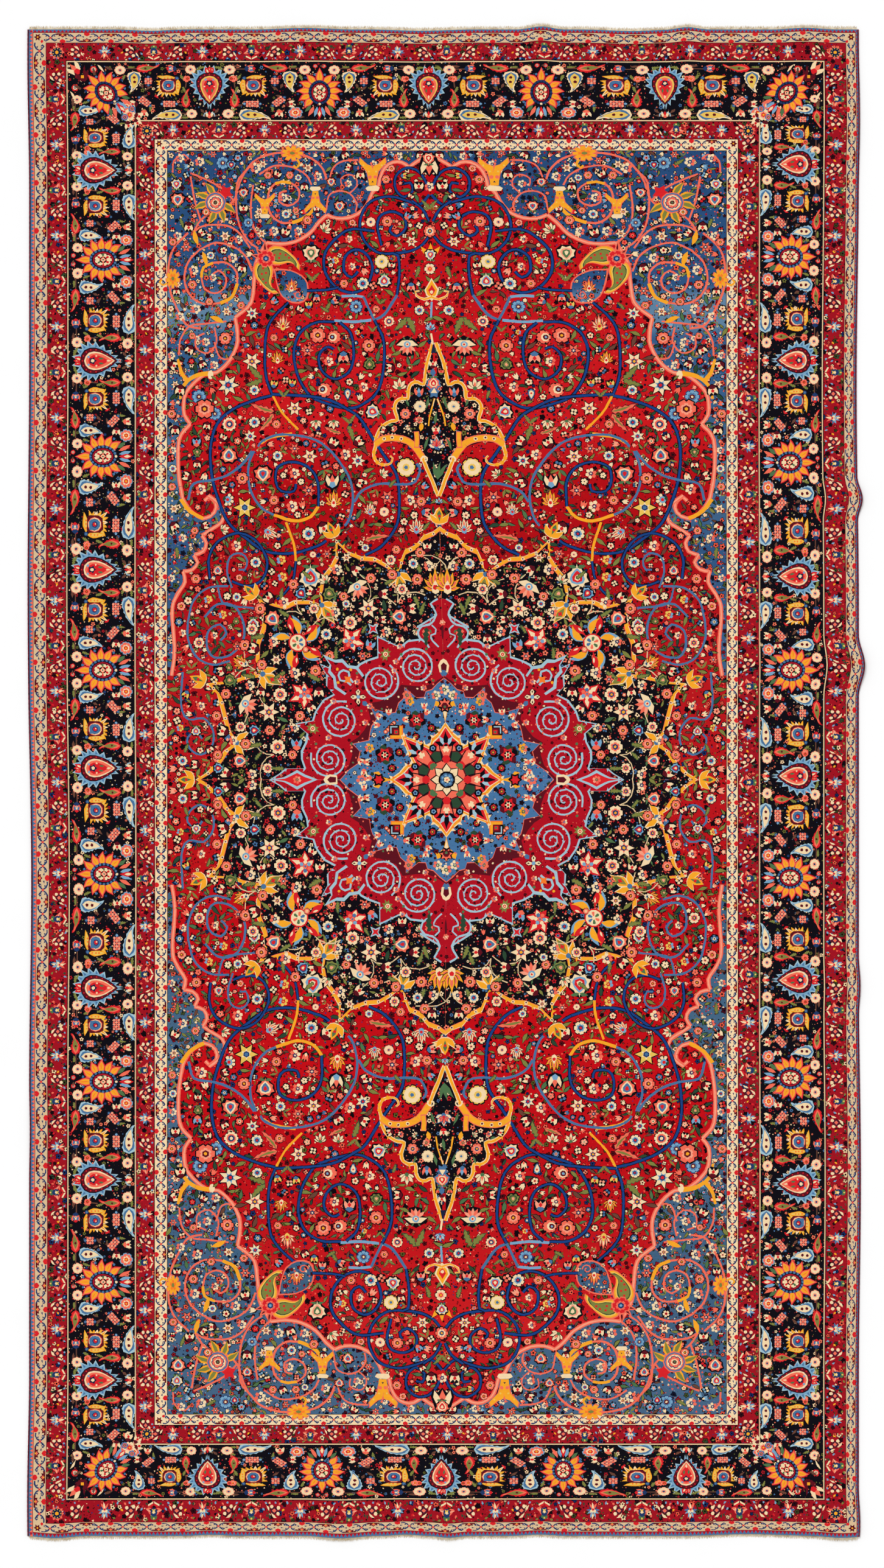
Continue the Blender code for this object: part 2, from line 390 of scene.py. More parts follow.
def squarePalmette(spot):
    for angle, length in ((-118, 22), (-100, 18), (-82, 19), (-64, 22), (-46, 27), (-30, 24), (-12, 21),
                          (6, 20), (24, 22), (40, 24)):
        s = spot.spot(0, angle)
        lay(s, "cream" if round(length) % 2 else "gold", spindle(length - 8, (6, 5, 3), 0.25, base=9))
        lay(s, "gold" if round(length) % 2 else "straw", spindle(length - 12, (3.5, 2.5), 0.2, base=9))
    for turn, at in ((-90, -14 + 12j), (0, -13 + 15j)):
        s = spot.spot(at, turn)
        layers(s, gold=spindle(31, (6, 9.5, 9, 6.5, 4), -0.25 if turn else 0.0),
               straw=spindle(26, (3.5, 6, 5, 3), -0.2 if turn else 0.0, base=2))
        for share in (7, 13, 18):
            lay(s.across(share, 0), "orange", disc(1.6, 5))
    layers(spot, maroon=path((-12, -10), (-8, -13.5), (7, -13), (13, -9), (14, 7), (9, 11.5), (-9, 12),
                             (-13, 8)), coral=disc(11.6, 10, 0.95), cream=disc(10.4, 10, 0.94))
    layers(spot, maroon=disc(9.4, 10, 0.93, -0.4), blue=path((-9, 8), (-9, -5), (-5, -8), (5, -7.5),
                                                             (8.5, -3), (7.5, 4), (3, 8)),
           navy=disc(4.8, 7), scarlet=disc(3.3, 6), cream=disc(1.3, 5, at=1 - 1j))
    layers(spot, navy=disc(3.4, 7, at=-14 + 13.5j), blue=disc(2.2, 6, at=-14 + 13.5j))


Sprig = namedtuple("Sprig", "inward along turn length yarn")
borderSprigs = (
    Sprig(24, 30, -30, 13, "olive"), Sprig(9, 34, 80, 12, "olive"), Sprig(46, 71, -60, 13, "brown"),
    Sprig(62, 66, -75, 14, "brown"), Sprig(80, 72, -20, 15, "olive"), Sprig(88, 62, -35, 14, "olive"),
    Sprig(70, 40, 30, 12, "brown"), Sprig(86, 30, 75, 14, "olive"), Sprig(103, 22, 85, 15, "brown"),
    Sprig(26, 84, 60, 12, "brown"), Sprig(8, 118, 85, 14, "brown"), Sprig(24, 118, 20, 13, "olive"),
    Sprig(46, 122, 10, 14, "olive"), Sprig(80, 114, 70, 13, "brown"), Sprig(88, 124, 60, 12, "olive"),
    Sprig(104, 120, 85, 16, "olive"), Sprig(100, 150, 80, 16, "brown"), Sprig(10, 146, 85, 14, "olive"),
    Sprig(88, 150, 30, 11, "brown"), Sprig(60, 78, 20, 10, "scarlet"), Sprig(40, 55, 10, 10, "brown"),
)


def borderHalf(spot, rim, paisleyYarn):
    for row in borderSprigs:
        s = spot.across(row.inward, row.along, row.turn)
        leaf(s, row.yarn, row.length, 4.6, 0.4, toothed=row.yarn == "olive")
    for stem in ((12 + 31j, 12 + 48j), (96 + 118j, 97 + 127j), (13 + 110j, 13 + 126j),
                 (30 + 128j, 48 + 126j)):
        stroke(spot, "brown", stem, 1.8)
    curledPaisley(spot.across(38, 45, 3, flip=True), 42, 23, paisleyYarn, rim)
    redLeaf(spot.across(11.5, 67, 91), 40, 17)
    dots(spot.across(35.5, 66.6), 2, 1)
    dots(spot.across(74, 61, 48), 3, 1)
    daisy(spot.across(15, 22), 9)
    rosette(spot.across(95, 36), 9.5, "coral", "cream", "scarlet", 7, "sky")
    bud(spot.across(79, 44, -92), 6.2, "cream", "maroon", None)
    bud(spot.across(96, 60, 5), 6, "cream", "coral", None)
    squarePalmette(spot.across(44, 98.7))
    dots(spot.across(78.5, 100, 90), 3, 1, ends="sky")
    curledPaisley(spot.across(99, 95, -91), 51, 23, paisleyYarn, rim)
    bud(spot.across(12, 105, -90), 6.5, "coral", "navy", None, "cream")
    bud(spot.across(12, 100, 90), 4.5, "blue", "scarlet", None, "cream")
    redLeaf(spot.across(67, 126, 183, flip=True), 38, 16)
    daisy(spot.across(14, 134), 9)
    daisy(spot.across(97, 136), 9)
    rosette(spot.across(31.4, 128), 6.2, "coral", "pink", "scarlet", 5, None)
    rosette(spot.across(79, 20), 5, "blue", "navy", "coral", 5, None)


def borderBetween(spot):
    for along in (-7, 7):
        rosette(spot.across(8, along), 4, "scarlet", "pink", "blue", 5, None)
    leaf(spot.across(8, 0, 90), "brown", 8, 3)


def palmetteTulip(spot):
    tulip(spot.across(100, 0, 180), 5.5, "cream", "scarlet", "coral", None)
    for side in (-1, 1):
        stroke(spot, "pale", [complex(94, side * 3), complex(97, side * 8), complex(102, side * 9)], 1.6)
        rosette(spot.across(31, side * 36), 4.5, "coral", "scarlet", "maroon", 5, None)
        leaf(spot.across(12, side * 14, side * 75), "olive", 10, 4, 0.3, True)


def cornerSpray(spot):
    tulip(spot.across(13, 13, 225), 9, "cream", "coral", "scarlet", None)
    for turn, length in ((200, 26), (250, 26), (185, 20), (268, 20)):
        leaf(spot.across(30, 30, turn), "maroon", length, 6, 0.5, True)
    lay(spot, "gold", disc(3.4, 4, at=24 + 24j))
    for x, y in ((12, 42), (42, 12)):
        rosette(spot.across(x, y), 6, "scarlet", "cream", "blue", 6, None)
    for x, y, turn in ((22, 44, 200), (44, 22, 250), (8, 60, 80), (60, 8, 10)):
        leaf(spot.across(x, y, turn), "brown", 15, 5, 0.4, True)
    for x, y, turn in ((4, 48, 50), (48, 4, 40)):
        leaf(spot.across(x, y, turn), "cream", 18, 3.6, 0.3)


# Nested bands, each named by its outer edge; the last is the field itself.
Band = namedtuple("Band", "left top right bottom yarn")
bands = (
    Band(50.75, 48.7, 1407.75, 2522.8, "blue"),
    Band(56.6, 53.6, 1405.6, 2516.4, "maroon"),
    Band(57.4, 54.4, 1404.8, 2515.6, "beige"),
    Band(77.6, 70.4, 1389.6, 2500.6, "maroon"),
    Band(78.6, 71.4, 1388.6, 2499.6, "guardRed"),
    Band(109.6, 99.4, 1355.0, 2464.4, "black"),
    Band(110.8, 100.6, 1353.8, 2463.2, "tan"),
    Band(112.6, 102.4, 1352.0, 2461.4, "coal"),
    Band(221.6, 197.6, 1248.4, 2373.2, "tan"),
    Band(223.4, 199.4, 1246.6, 2371.4, "maroon"),
    Band(224.4, 200.4, 1245.6, 2370.4, "guardRed"),
    Band(253.4, 228.4, 1212.6, 2341.4, "black"),
    Band(254.4, 229.4, 1211.6, 2340.4, "cream"),
    Band(274.4, 247.4, 1193.6, 2323.6, "black"),
    Band(275.4, 248.4, 1192.6, 2322.6, "field"),
)

sideTurns = {"left": (1, 1j), "right": (-1, 1j), "top": (1j, 1), "bottom": (-1j, 1)}


# A spot on one side of a band, facing inwards.
def sideSpot(band, side, along, stretch=1.0, depth=1.0):
    inward, run = sideTurns[side]
    edge = {"left": complex(band.left, along), "right": complex(band.right, along),
            "top": complex(along, band.top), "bottom": complex(along, band.bottom)}[side]
    return Spot(edge, inward * depth, run * stretch)


def bandRun(band, side):
    return (band.top, band.bottom) if side in ("left", "right") else (band.left, band.right)


def bandDepth(outer, inner, side):
    return abs(getattr(outer, side) - getattr(inner, side))


def evenStops(band, side, depth, pitch):
    start, stop = bandRun(band, side)
    start += depth
    stop -= depth
    count = max(2, 2 * round((stop - start) / pitch / 2))
    return [start + (stop - start) * i / count for i in range(count + 1)], (stop - start) / count / pitch


def bandCorners(band):
    return [Spot(complex(x, y), right, down) for x, right in ((band.left, 1), (band.right, -1))
            for y, down in ((band.top, 1j), (band.bottom, -1j))]


# A cream guard: a dark palmette and a heart by turns on either side of a fine hooked line.
def creamGuard(outer, inner, pitch):
    for side in sideTurns:
        depth = bandDepth(outer, inner, side)
        stops, stretch = evenStops(outer, side, depth / 2, pitch)
        for i, along in enumerate(stops):
            s = sideSpot(outer, side, along, stretch * pitch / 40, depth / 20)
            up = s if i % 2 else Spot(s(20), -s.right, s.down)
            if 0 < i < len(stops) - 1:
                guardStop(up)
            if i < len(stops) - 1:
                for way in (1, -1):
                    guardHooks(Spot(up(20j), up.right, up.down * way))
                cross = up.spot(20j + 10)
                for turn in (45, 135):
                    lay(cross.spot(0, turn), "scarlet", corners(-2.6, -0.7, 2.6, 0.7))
    for corner in bandCorners(outer):
        layers(corner.spot(7 + 7j), maroon=lobed(6, 3.5, 6.5, True), gold=disc(1.6, 5))
        lay(corner.spot(14 + 14j), "scarlet", disc(2.6, 5))


def guardStop(at):
    s = Spot(at.origin, at.right * 1.12, at.down * 1.5)
    layers(s, maroon=[1 - 6.5j, 4 - 7.5j, 3.4 - 4j, 6.5 - 4.5j, 5.6 - 2j, 8.4, 5.6 + 2j, 6.5 + 4.5j,
                      3.4 + 4j, 4 + 7.5j, 1 + 6.5j], coral=[3.4 - 2.6j, 6.6, 3.4 + 2.6j],
           gold=disc(1.3, 4, at=2.8), scarlet=[11.5, 13.6 - 2.8j, 16.4 - 3.4j, 18.6 - 1.6j, 17.6,
                                               18.6 + 1.6j, 16.4 + 3.4j, 13.6 + 2.8j],
           navy=[9 - 3.2j, 11 - 6.5j, 11.6 - 3.0j])
    lay(s, "navy", [9 + 3.2j, 11 + 6.5j, 11.6 + 3.0j])


def guardHooks(s):
    stroke(s, "navy", [11 - 1.5j, 15 - 4j, 17.6 - 9j, 17.2 - 14j], 2.3, gap=7)
    stroke(s, "navy", [9 - 1.5j, 6 - 4j, 3.4 - 7.5j, 5.2 - 10j, 7 - 8.4j], 2.5, gap=6)
    lay(s, "navy", [6.8 - 4.6j, 8.6 - 8j, 5.6 - 6.4j])
    lay(s, "navy", [13 - 4.6j, 12.2 - 8.6j, 15.4 - 7j])


# A red guard: star flower, cluster, palmette, cluster.
def starFlower(s):
    for turn, yarn, length in ((-75, "blue", 10), (-105, "sky", 9), (75, "blue", 10), (105, "sky", 9),
                               (-40, "navy", 8), (40, "navy", 8), (-150, "sky", 10), (150, "sky", 10),
                               (-20, "coral", 12), (20, "coral", 12), (180, "cream", 11), (0, "cream", 12)):
        lay(s.spot(0, turn), yarn, spindle(length, (3.2, 2.6), 0.3 if turn > 0 else -0.3, base=1))
    layers(s, cream=[-3 - 4j, 1 - 4.6j, 3.4, 1 + 4.6j, -3 + 4j, -1], scarlet=disc(2.0, 5, at=2),
           navy=disc(1.2, 4, at=-4))


def guardCluster(s):
    lay(s, "maroon", disc(6.4, 7, at=1 + 1j))
    for at in (-4 - 5j, 4.5 - 5.5j, 6.5 + 5j):
        lay(s, "cream", disc(2.9, 6, at=at))
    leaf(s.across(-10, -3, 75), "cream", 12, 3.6, -0.9)
    layers(s, night=[-4 + 1j, 0.5 - 4j, 5 + 1j, 0.5 + 6j],
           coral=[-2.6 + 1j, 0.5 - 2.6j, 3.6 + 1j, 0.5 + 4.6j])
    leaf(s.across(0, 9, 10), "cream", 10, 3, 0.6)
    layers(s, sky=disc(1.8, 5, at=12 - 1j), forest=spindle(8, (3, 2), 0.4, base=-12 + 8j))


def guardPalmette(s):
    for side in (-1, 1):
        for turn, at in ((35, -6), (70, -1), (100, 4)):
            lay(s.across(at, side * 4, side * turn), "coral" if at != -1 else "pink",
                spindle(9, (2.6, 2.2), 0.2))
        layers(s, cream=[11 + side * 1j, 7 + side * 8.5j, 9.5 + side * 9j, 14 + side * 0.5j],
               scarlet=[8 + side * 1j, 5 + side * 6j, 7.4 + side * 7j, 11 + side * 0.5j])
    layers(s, green=disc(4.2, 7, 1.3, -9), straw=disc(1.6, 5, at=-11), navy=disc(6.6, 9, 0.86, -2))
    layers(s, straw=lobed(4, 1.8, 4.4, True, start=0.78), cream=disc(2.0, 6, at=-2))


guardBits = ((-11, 17, "olive"), (9, 20, "sky"), (-4, 24, "scarlet"), (3, 25, "gold"), (-12, 29, "forest"),
             (12, 30, "coral"), (-9, 52, "forest"), (10, 52, "sky"), (0, 55, "maroon"), (5, 59, "sky"),
             (-12, 59, "brown"), (12, 64, "forest"), (-5, 62, "coral"), (-12, 68, "olive"),
             (13, 14, "forest"))


def redGuard(outer, inner, sites):
    for side in sideTurns:
        depth = bandDepth(outer, inner, side)
        start, stop = bandRun(outer, side)
        first, count = sites[side]
        step = (stop - start - 2 * first) / count
        for i in range(count + 1):
            s = sideSpot(outer, side, start + first + step * i, step / 77, depth / 31).spot(15.5)
            if i % 2:
                guardPalmette(s)
            else:
                starFlower(s)
            for way in ((1, -1) if i % 2 == 0 else ()):
                if 0 <= i + way <= count:
                    half = Spot(s.origin, s.right, s.down * way)
                    guardCluster(half.spot(40j))
                    for inward, run, yarn in guardBits:
                        leaf(half.across(inward, run, 40 * inward), yarn, 5.5, 3.2, 0.5)
        if first > 50:
            for place in (start + first / 2, stop - first / 2):
                guardCluster(sideSpot(outer, side, place, 1, depth / 31).spot(15.5))
    for corner in bandCorners(outer):
        s = corner.spot(17 + 15j)
        layers(s, coral=lobed(9, 8.5, 12, True), night=disc(8.4, 9))
        for angle in around(9):
            lay(s, "straw", disc(1.1, 4, at=cmath.rect(6.4, angle)))
        lay(s, "gold", disc(3, 6))


# The narrow outermost edge: a row of small triangles.
def edgeTriangles():
    outer, inner = bands[0], bands[1]
    for side in sideTurns:
        start, stop = bandRun(outer, side)
        depth = bandDepth(outer, inner, side)
        pitch = 6.3
        for i in range(round((stop - start) / pitch)):
            s = sideSpot(outer, side, start + (i + 0.5) * pitch, 1, depth / 6)
            lay(s, "coral" if side == "left" else "red", [1 + 0j, 6 - 3j, 6 + 3j])


# Where the main border's palmettes and rosettes stand by turns, along each side.
mainSites = {
    "left": (146, 280, 427, 593, 750, 936, 1101, 1262, 1436, 1623, 1777, 1938, 2106, 2267, 2410),
    "right": (146, 270, 422, 592, 760, 947, 1101, 1275, 1442, 1610, 1771, 1945, 2106, 2267, 2410),
    "top": (175, 344, 525, 704, 889, 1092, 1288),
    "bottom": (186, 341, 529, 725, 925, 1127, 1280),
}


def mainBorder():
    outer, inner = bands[7], bands[8]
    for side, sites in mainSites.items():
        depth = bandDepth(outer, inner, side) / 109
        warm = side == "top"
        rim, paisleyYarn = ("cream", "straw") if warm else ("pale", "cream")
        for i, (a, b) in enumerate(zip(sites, sites[1:])):
            stretch = (b - a) / 164
            at = a if i % 2 == 0 else b
            s = sideSpot(outer, side, at, stretch if i % 2 == 0 else -stretch, depth)
            borderHalf(s, rim, paisleyYarn)
        for i, at in enumerate(sites):
            if 0 < i < len(sites) - 1:
                s = sideSpot(outer, side, at, 1, depth)
                if i % 2:
                    bluePalmette(s.across(51, 0), "straw" if warm else "cream")
                    palmetteTulip(s)
                else:
                    flameRosette(s.across(57, 0), "navy" if warm else "blue")
                    borderBetween(s)
    for corner, middle in zip(bandCorners(outer), (175 + 153j, 175 + 2414j, 1292 + 153j, 1292 + 2414j)):
        cornerSpray(corner)
        s = Spot(middle, corner.right, corner.down)
        flameRosette(s.spot(0, 45, 0.92), "navy" if corner.down == 1j else "blue")
        rosette(s.across(38, 36), 10, "cream", "pink", "scarlet", 6, None)
        for at in (30 + 40j, 42 + 26j):
            rosette(s.spot(at), 6, "blue", "coral", "navy", 5, None)
        for at, turn in ((50 + 48j, 60), (52 + 38j, 20), (36 + 52j, 80)):
            bud(s.spot(at, turn), 6, "cream", "maroon", None)


def borders():
    for band in bands:
        lay(Spot(), band.yarn, corners(band.left, band.top, band.right, band.bottom))
    edgeTriangles()
    creamGuard(bands[2], bands[3], 40)
    redGuard(bands[4], bands[5], {"left": (17, 32), "right": (17, 32), "top": (94, 14), "bottom": (94, 14)})
    mainBorder()
    redGuard(bands[10], bands[11], {"left": (60, 26), "right": (60, 26), "top": (60, 12),
                                    "bottom": (60, 12)})
    creamGuard(bands[12], bands[13], 34)


fieldTop, fieldMiddle, fieldBottom = 248.4, 1281.0, 2322.6
fieldLeft, fieldRight = 275.4, 1192.6
axisTop, axisMiddle, axisBottom = 704.5, 734.0, 727.0


# The field's middle line leans a little between its ends.
def axisAt(y):
    if y < fieldMiddle:
        return axisTop + (axisMiddle - axisTop) * (y - fieldTop) / (fieldMiddle - fieldTop)
    return axisMiddle + (axisBottom - axisMiddle) * (y - fieldMiddle) / (fieldBottom - fieldMiddle)


# One drawn quarter, the upper left, serves all four: it is turned over the two middle lines.
def quarter(mirrored, lower):
    def through(z):
        share = (axisAt(z.imag) - z.real) / (axisAt(z.imag) - fieldLeft)
        y = z.imag
        if lower:
            y = fieldBottom - (z.imag - fieldTop) * (fieldBottom - fieldMiddle) / (fieldMiddle - fieldTop)
        axis = axisAt(y)
        x = axis + share * (fieldRight - axis) if mirrored else axis - share * (axis - fieldLeft)
        return complex(x, y)
    return Spot(through=through)


# The corner piece's scalloped edge.
spandrelArches = (
    path((705, 256), (690, 262), (672, 275)),
    path((672, 275), (660, 267), (645, 267), (632, 276), (625, 290), (622, 306)),
    path((622, 306), (612, 316), (606, 330), (594, 347), (573, 358), (552, 359), (537, 353)),
    path((537, 353), (524, 365), (508, 384), (485, 397), (462, 401), (438, 399)),
    path((438, 399), (428, 416), (420, 434), (418, 456), (415, 488), (408, 504), (386, 522)),
    path((386, 522), (390, 545), (389, 568), (376, 594), (356, 612), (341, 612)),
    path((341, 612), (322, 626), (306, 645), (302, 662), (303, 682), (313, 697)),
    path((313, 697), (298, 714), (293, 735), (294, 780), (300, 818)),
    path((300, 818), (312, 838), (334, 852), (352, 842), (354, 826), (342, 817), (336, 823)),
)
curlBack = path((342, 814), (358, 826), (367, 842), (364, 858), (345, 871))
spandrelFoot = (
    path((345, 871), (338, 876), (332, 880)),
    path((332, 880), (339, 892), (334, 906), (319, 912)),
    path((319, 912), (325, 924), (316, 936), (301, 939)),
    path((301, 939), (304, 956), (292, 976), (285, 990)),
    path((285, 990), (283, 1010), (287, 1070), (282, 1110)),
)
spandrelRim = spandrelArches + (curlBack,) + spandrelFoot
spandrelGround = path((fieldLeft, fieldTop), (705, fieldTop)) + sum(spandrelRim, []) + [fieldLeft + 1110j]


def curveThrough(arches):
    outline = []
    for arch in arches:
        outline += smooth(arch, 9)[:-1]
    return outline + [arches[-1][-1]]


Vine = namedtuple("Vine", "yarn width points")


def vinesOf(*rows):
    return [Vine(yarn, width, path(*pairs)) for yarn, width, *pairs in rows]


spandrelVines = vinesOf(
    ("coral", 3.4, (402, 283), (423, 261), (462, 251), (504, 257), (528, 275), (538, 298)),
    ("coral", 2.8, (426, 287), (450, 273), (480, 275), (503, 288), (512, 304)),
    ("coral", 3.0, (402, 283), (390, 300), (388, 340), (394, 372), (408, 396), (424, 408)),
    ("coral", 3.0, (416, 304), (412, 340), (416, 372), (432, 396), (446, 400)),
    ("gold", 5.5, (518, 320), (514, 345), (496, 360), (480, 366)),
    ("coral", 3.4, (480, 366), (462, 366), (446, 354), (440, 334), (443, 312), (452, 302)),
    ("gold", 4.5, (452, 302), (464, 299), (478, 301)),
    ("coral", 3.0, (478, 301), (491, 312), (489, 330), (474, 338), (459, 332), (460, 317), (471, 314)),
    ("coral", 3.0, (318, 381), (336, 371), (372, 371), (394, 384), (411, 408)),
    ("coral", 3.2, (309, 383), (286, 407), (277, 437), (279, 475), (290, 505), (307, 534), (330, 540)),
    ("coral", 3.0, (327, 411), (354, 399), (384, 406), (404, 422), (414, 446)),
    ("coral", 3.2, (327, 411), (309, 431), (303, 460), (313, 486), (334, 499), (362, 498)),
    ("gold", 5.5, (362, 498), (381, 488), (390, 466)),
    ("coral", 3.2, (390, 466), (388, 446), (372, 432), (350, 432)),
    ("gold", 4.5, (350, 432), (334, 440), (331, 456)),
    ("coral", 3.0, (331, 456), (336, 474), (352, 482), (368, 474), (371, 456), (360, 445), (348, 452)),
    ("coral", 3.0, (318, 381), (330, 362), (344, 352), (362, 348), (384, 330), (394, 300), (402, 283)),
    ("coral", 2.6, (540, 298), (548, 275), (564, 265), (588, 263)),
    ("coral", 2.6, (536, 345), (540, 322), (556, 314), (574, 318), (586, 334), (584, 348)),
    ("coral", 2.2, (574, 318), (586, 306), (584, 292), (572, 287), (560, 294), (562, 306)),
    ("coral", 2.8, (294, 584), (297, 557), (312, 536), (338, 532), (372, 528)),
    ("coral", 2.6, (352, 538), (356, 562), (342, 580), (324, 574), (322, 556), (336, 548)),
    ("coral", 2.6, (352, 562), (362, 588), (384, 590)),
    ("coral", 3.0, (313, 290), (320, 330), (330, 362)),
    ("coral", 3.0, (316, 286), (340, 296), (368, 312), (384, 330)),
    ("coral", 2.6, (284, 284), (286, 264), (302, 254), (310, 262)),
)
fieldVines = vinesOf(
    ("vine", 3.4, (705, 311), (690, 284), (668, 276), (650, 290), (650, 312), (664, 324), (678, 314),
     (674, 300), (664, 302)),
    ("vine", 3.4, (705, 320), (690, 336), (668, 330), (638, 323), (608, 332), (593, 356), (592, 380),
     (603, 402), (624, 416), (652, 416), (676, 412), (694, 402), (705, 388)),
    ("vine", 3.2, (705, 364), (694, 344), (676, 330)),
    ("vine", 3.4, (627, 404), (620, 372), (626, 354), (646, 348), (664, 358), (666, 376), (652, 388),
     (640, 380), (644, 370)),
    ("vine", 3.6, (615, 380), (576, 377), (552, 392), (534, 416), (534, 446), (552, 472), (579, 481),
     (602, 470), (612, 440), (602, 418), (584, 410), (567, 422), (565, 446), (578, 456), (588, 446)),
    ("vine", 3.4, (645, 416), (654, 420), (656, 450), (652, 485)),
    ("blue", 4.4, (652, 485), (632, 516), (615, 526)),
    ("vine", 3.2, (504, 478), (540, 476), (556, 472)),
    ("sky", 4.2, (561, 487), (580, 486), (597, 488)),
    ("blue", 4.0, (597, 488), (606, 508), (615, 526)),
    ("sky", 4.4, (610, 526), (580, 529), (549, 527)),
    ("vine", 3.6, (549, 529), (519, 530), (494, 546), (483, 575), (487, 610), (500, 638), (518, 656),
     (570, 671), (600, 662), (621, 641), (630, 605), (630, 560), (615, 526)),
    ("vine", 3.4, (558, 530), (576, 548), (581, 584), (573, 611), (549, 623), (528, 608), (524, 584),
     (537, 570), (548, 574)),
    ("vine", 3.4, (474, 497), (450, 521), (438, 545), (435, 590), (438, 623), (447, 648)),
    ("gold", 3.6, (447, 648), (462, 676), (480, 696), (490, 706)),
    ("vine", 3.8, (447, 650), (420, 657), (384, 672), (357, 696), (346, 735), (348, 780), (357, 816),
     (375, 858), (405, 885), (438, 906), (480, 909), (522, 897), (536, 888)),
    ("vine", 3.8, (447, 648), (504, 651), (540, 657), (570, 672), (591, 687), (612, 720), (628, 744),
     (651, 780), (656, 825), (651, 864), (627, 897), (600, 912)),
    ("gold", 5.4, (428, 728), (446, 718), (480, 713)),
    ("blue", 3.8, (424, 734), (432, 724), (462, 714), (510, 720), (540, 738), (564, 768), (576, 792),
     (580, 822), (574, 852), (566, 864)),
    ("blue", 3.8, (417, 741), (408, 768), (411, 804), (429, 834), (450, 846)),
    ("gold", 5.0, (450, 846), (484, 856), (510, 849), (523, 832)),
    ("vine", 3.4, (523, 832), (522, 792), (507, 768), (480, 759), (456, 768), (453, 792), (462, 807),
     (483, 807), (486, 795)),
    ("blue", 4.0, (309, 822), (318, 795), (348, 789), (375, 780), (399, 762), (414, 741)),
    ("blue", 4.0, (582, 825), (594, 807), (624, 795), (660, 796), (681, 792), (690, 771), (684, 762)),
    ("gold", 4.0, (470, 858), (478, 880), (484, 900), (486, 922)),
    ("vine", 3.0, (486, 922), (482, 950), (470, 972), (455, 985)),
    ("vine", 3.4, (345, 951), (343, 918), (357, 891), (390, 876), (420, 888), (438, 918), (435, 945),
     (420, 960), (400, 962), (381, 955)),
    ("blue", 3.2, (381, 966), (373, 939), (378, 915), (396, 909), (406, 921), (402, 936), (392, 936)),
    ("blue", 3.4, (309, 1020), (318, 987), (342, 966), (375, 963)),
    ("blue", 3.6, (336, 1014), (357, 993), (384, 996), (399, 1020), (400, 1050), (380, 1075), (352, 1080),
     (340, 1062), (343, 1036), (362, 1026), (372, 1040), (362, 1052)),
    ("blue", 3.4, (309, 1020), (309, 1050), (324, 1080), (350, 1092), (378, 1086)),
    ("blue", 3.0, (358, 966), (366, 990), (384, 996), (430, 1000)),
    ("blue", 3.4, (300, 1104), (298, 1160), (310, 1182), (334, 1180), (350, 1200), (348, 1226), (330, 1240),
     (312, 1230), (308, 1212), (322, 1202), (332, 1214)),
)


# Thorns along a stem, forward on either side by turns.
def thorn(spot, yarn, points):
    curve = smooth(points, 14)
    for i in range(1, len(curve) - 1, 2):
        run = curve[i + 1] - curve[i]
        s = spot.spot(curve[i], math.degrees(cmath.phase(run)) + (55 if i % 4 == 1 else -55))
        lay(s, yarn, [-1.4j, 4.6, 1.4j])


def drawVines(spot, vines):
    for vine in vines:
        if vine.yarn == "vine":
            stroke(spot, "black", vine.points, vine.width + 2.2, gap=7)
        stroke(spot, vine.yarn, vine.points, vine.width, gap=7)
        if vine.yarn != "gold":
            thorn(spot, vine.yarn, vine.points)


def starFlowerOf(spot, size, yarn="cream", inner="coral", heart="gold", points=6):
    lay(spot, "black", lobed(points, size * 0.62, size * 1.14, True))
    lay(spot, yarn, lobed(points, size * 0.5, size, True))
    lay(spot, inner, lobed(points, size * 0.26, size * 0.52, True, start=math.pi / points))
    lay(spot, "navy", disc(size * 0.3, 6))
    lay(spot, heart, disc(size * 0.17, 5))


def lotus(spot, size, yarn="cream", inner="coral", edge="black", base="green"):
    for angle, length in ((-72, 0.95), (72, 0.95), (-38, 1.15), (38, 1.15), (0, 1.3)):
        s = spot.spot(0, angle)
        if edge:
            lay(s, edge, spindle(size * length + 2, (size * 0.42 + 1, size * 0.5 + 1), base=-1))
        lay(s, yarn, spindle(size * length, (size * 0.38, size * 0.42), base=0))
    lay(spot, inner, spindle(size * 0.7, (size * 0.3, size * 0.2), base=size * 0.1))
    lay(spot, base, disc(size * 0.26, 6))


def lily(spot, size):
    lay(spot, "black",
        [size * p for p in (-1.1, -0.6 - 0.9j, 0.1 - 1.5j, 0.4 - 0.7j, 1.3 - 0.8j, 1.5, 1.3 + 0.8j,
                            0.4 + 0.7j, 0.1 + 1.5j, -0.6 + 0.9j)])
    for angle in (-50, -25, 0, 25, 50):
        lay(spot.spot(0, angle), "coral" if round(angle) % 2 else "pink",
            spindle(size * 1.35, (size * 0.3, size * 0.38)))
    for flip in (False, True):
        s = spot.spot(0, flip=flip)
        lay(s, "cream", [size * p for p in (-0.5, -0.5 - 0.6j, 0.1 - 1.35j, 0.2 - 0.6j, 0.15)])
        lay(s.spot(-0.5 * size - 0.2j * size, -140), "green", spindle(size * 0.6, (size * 0.2,)))
    layers(spot, sky=disc(size * 0.42, 8), cream=disc(size * 0.25, 6), scarlet=disc(size * 0.13, 5))


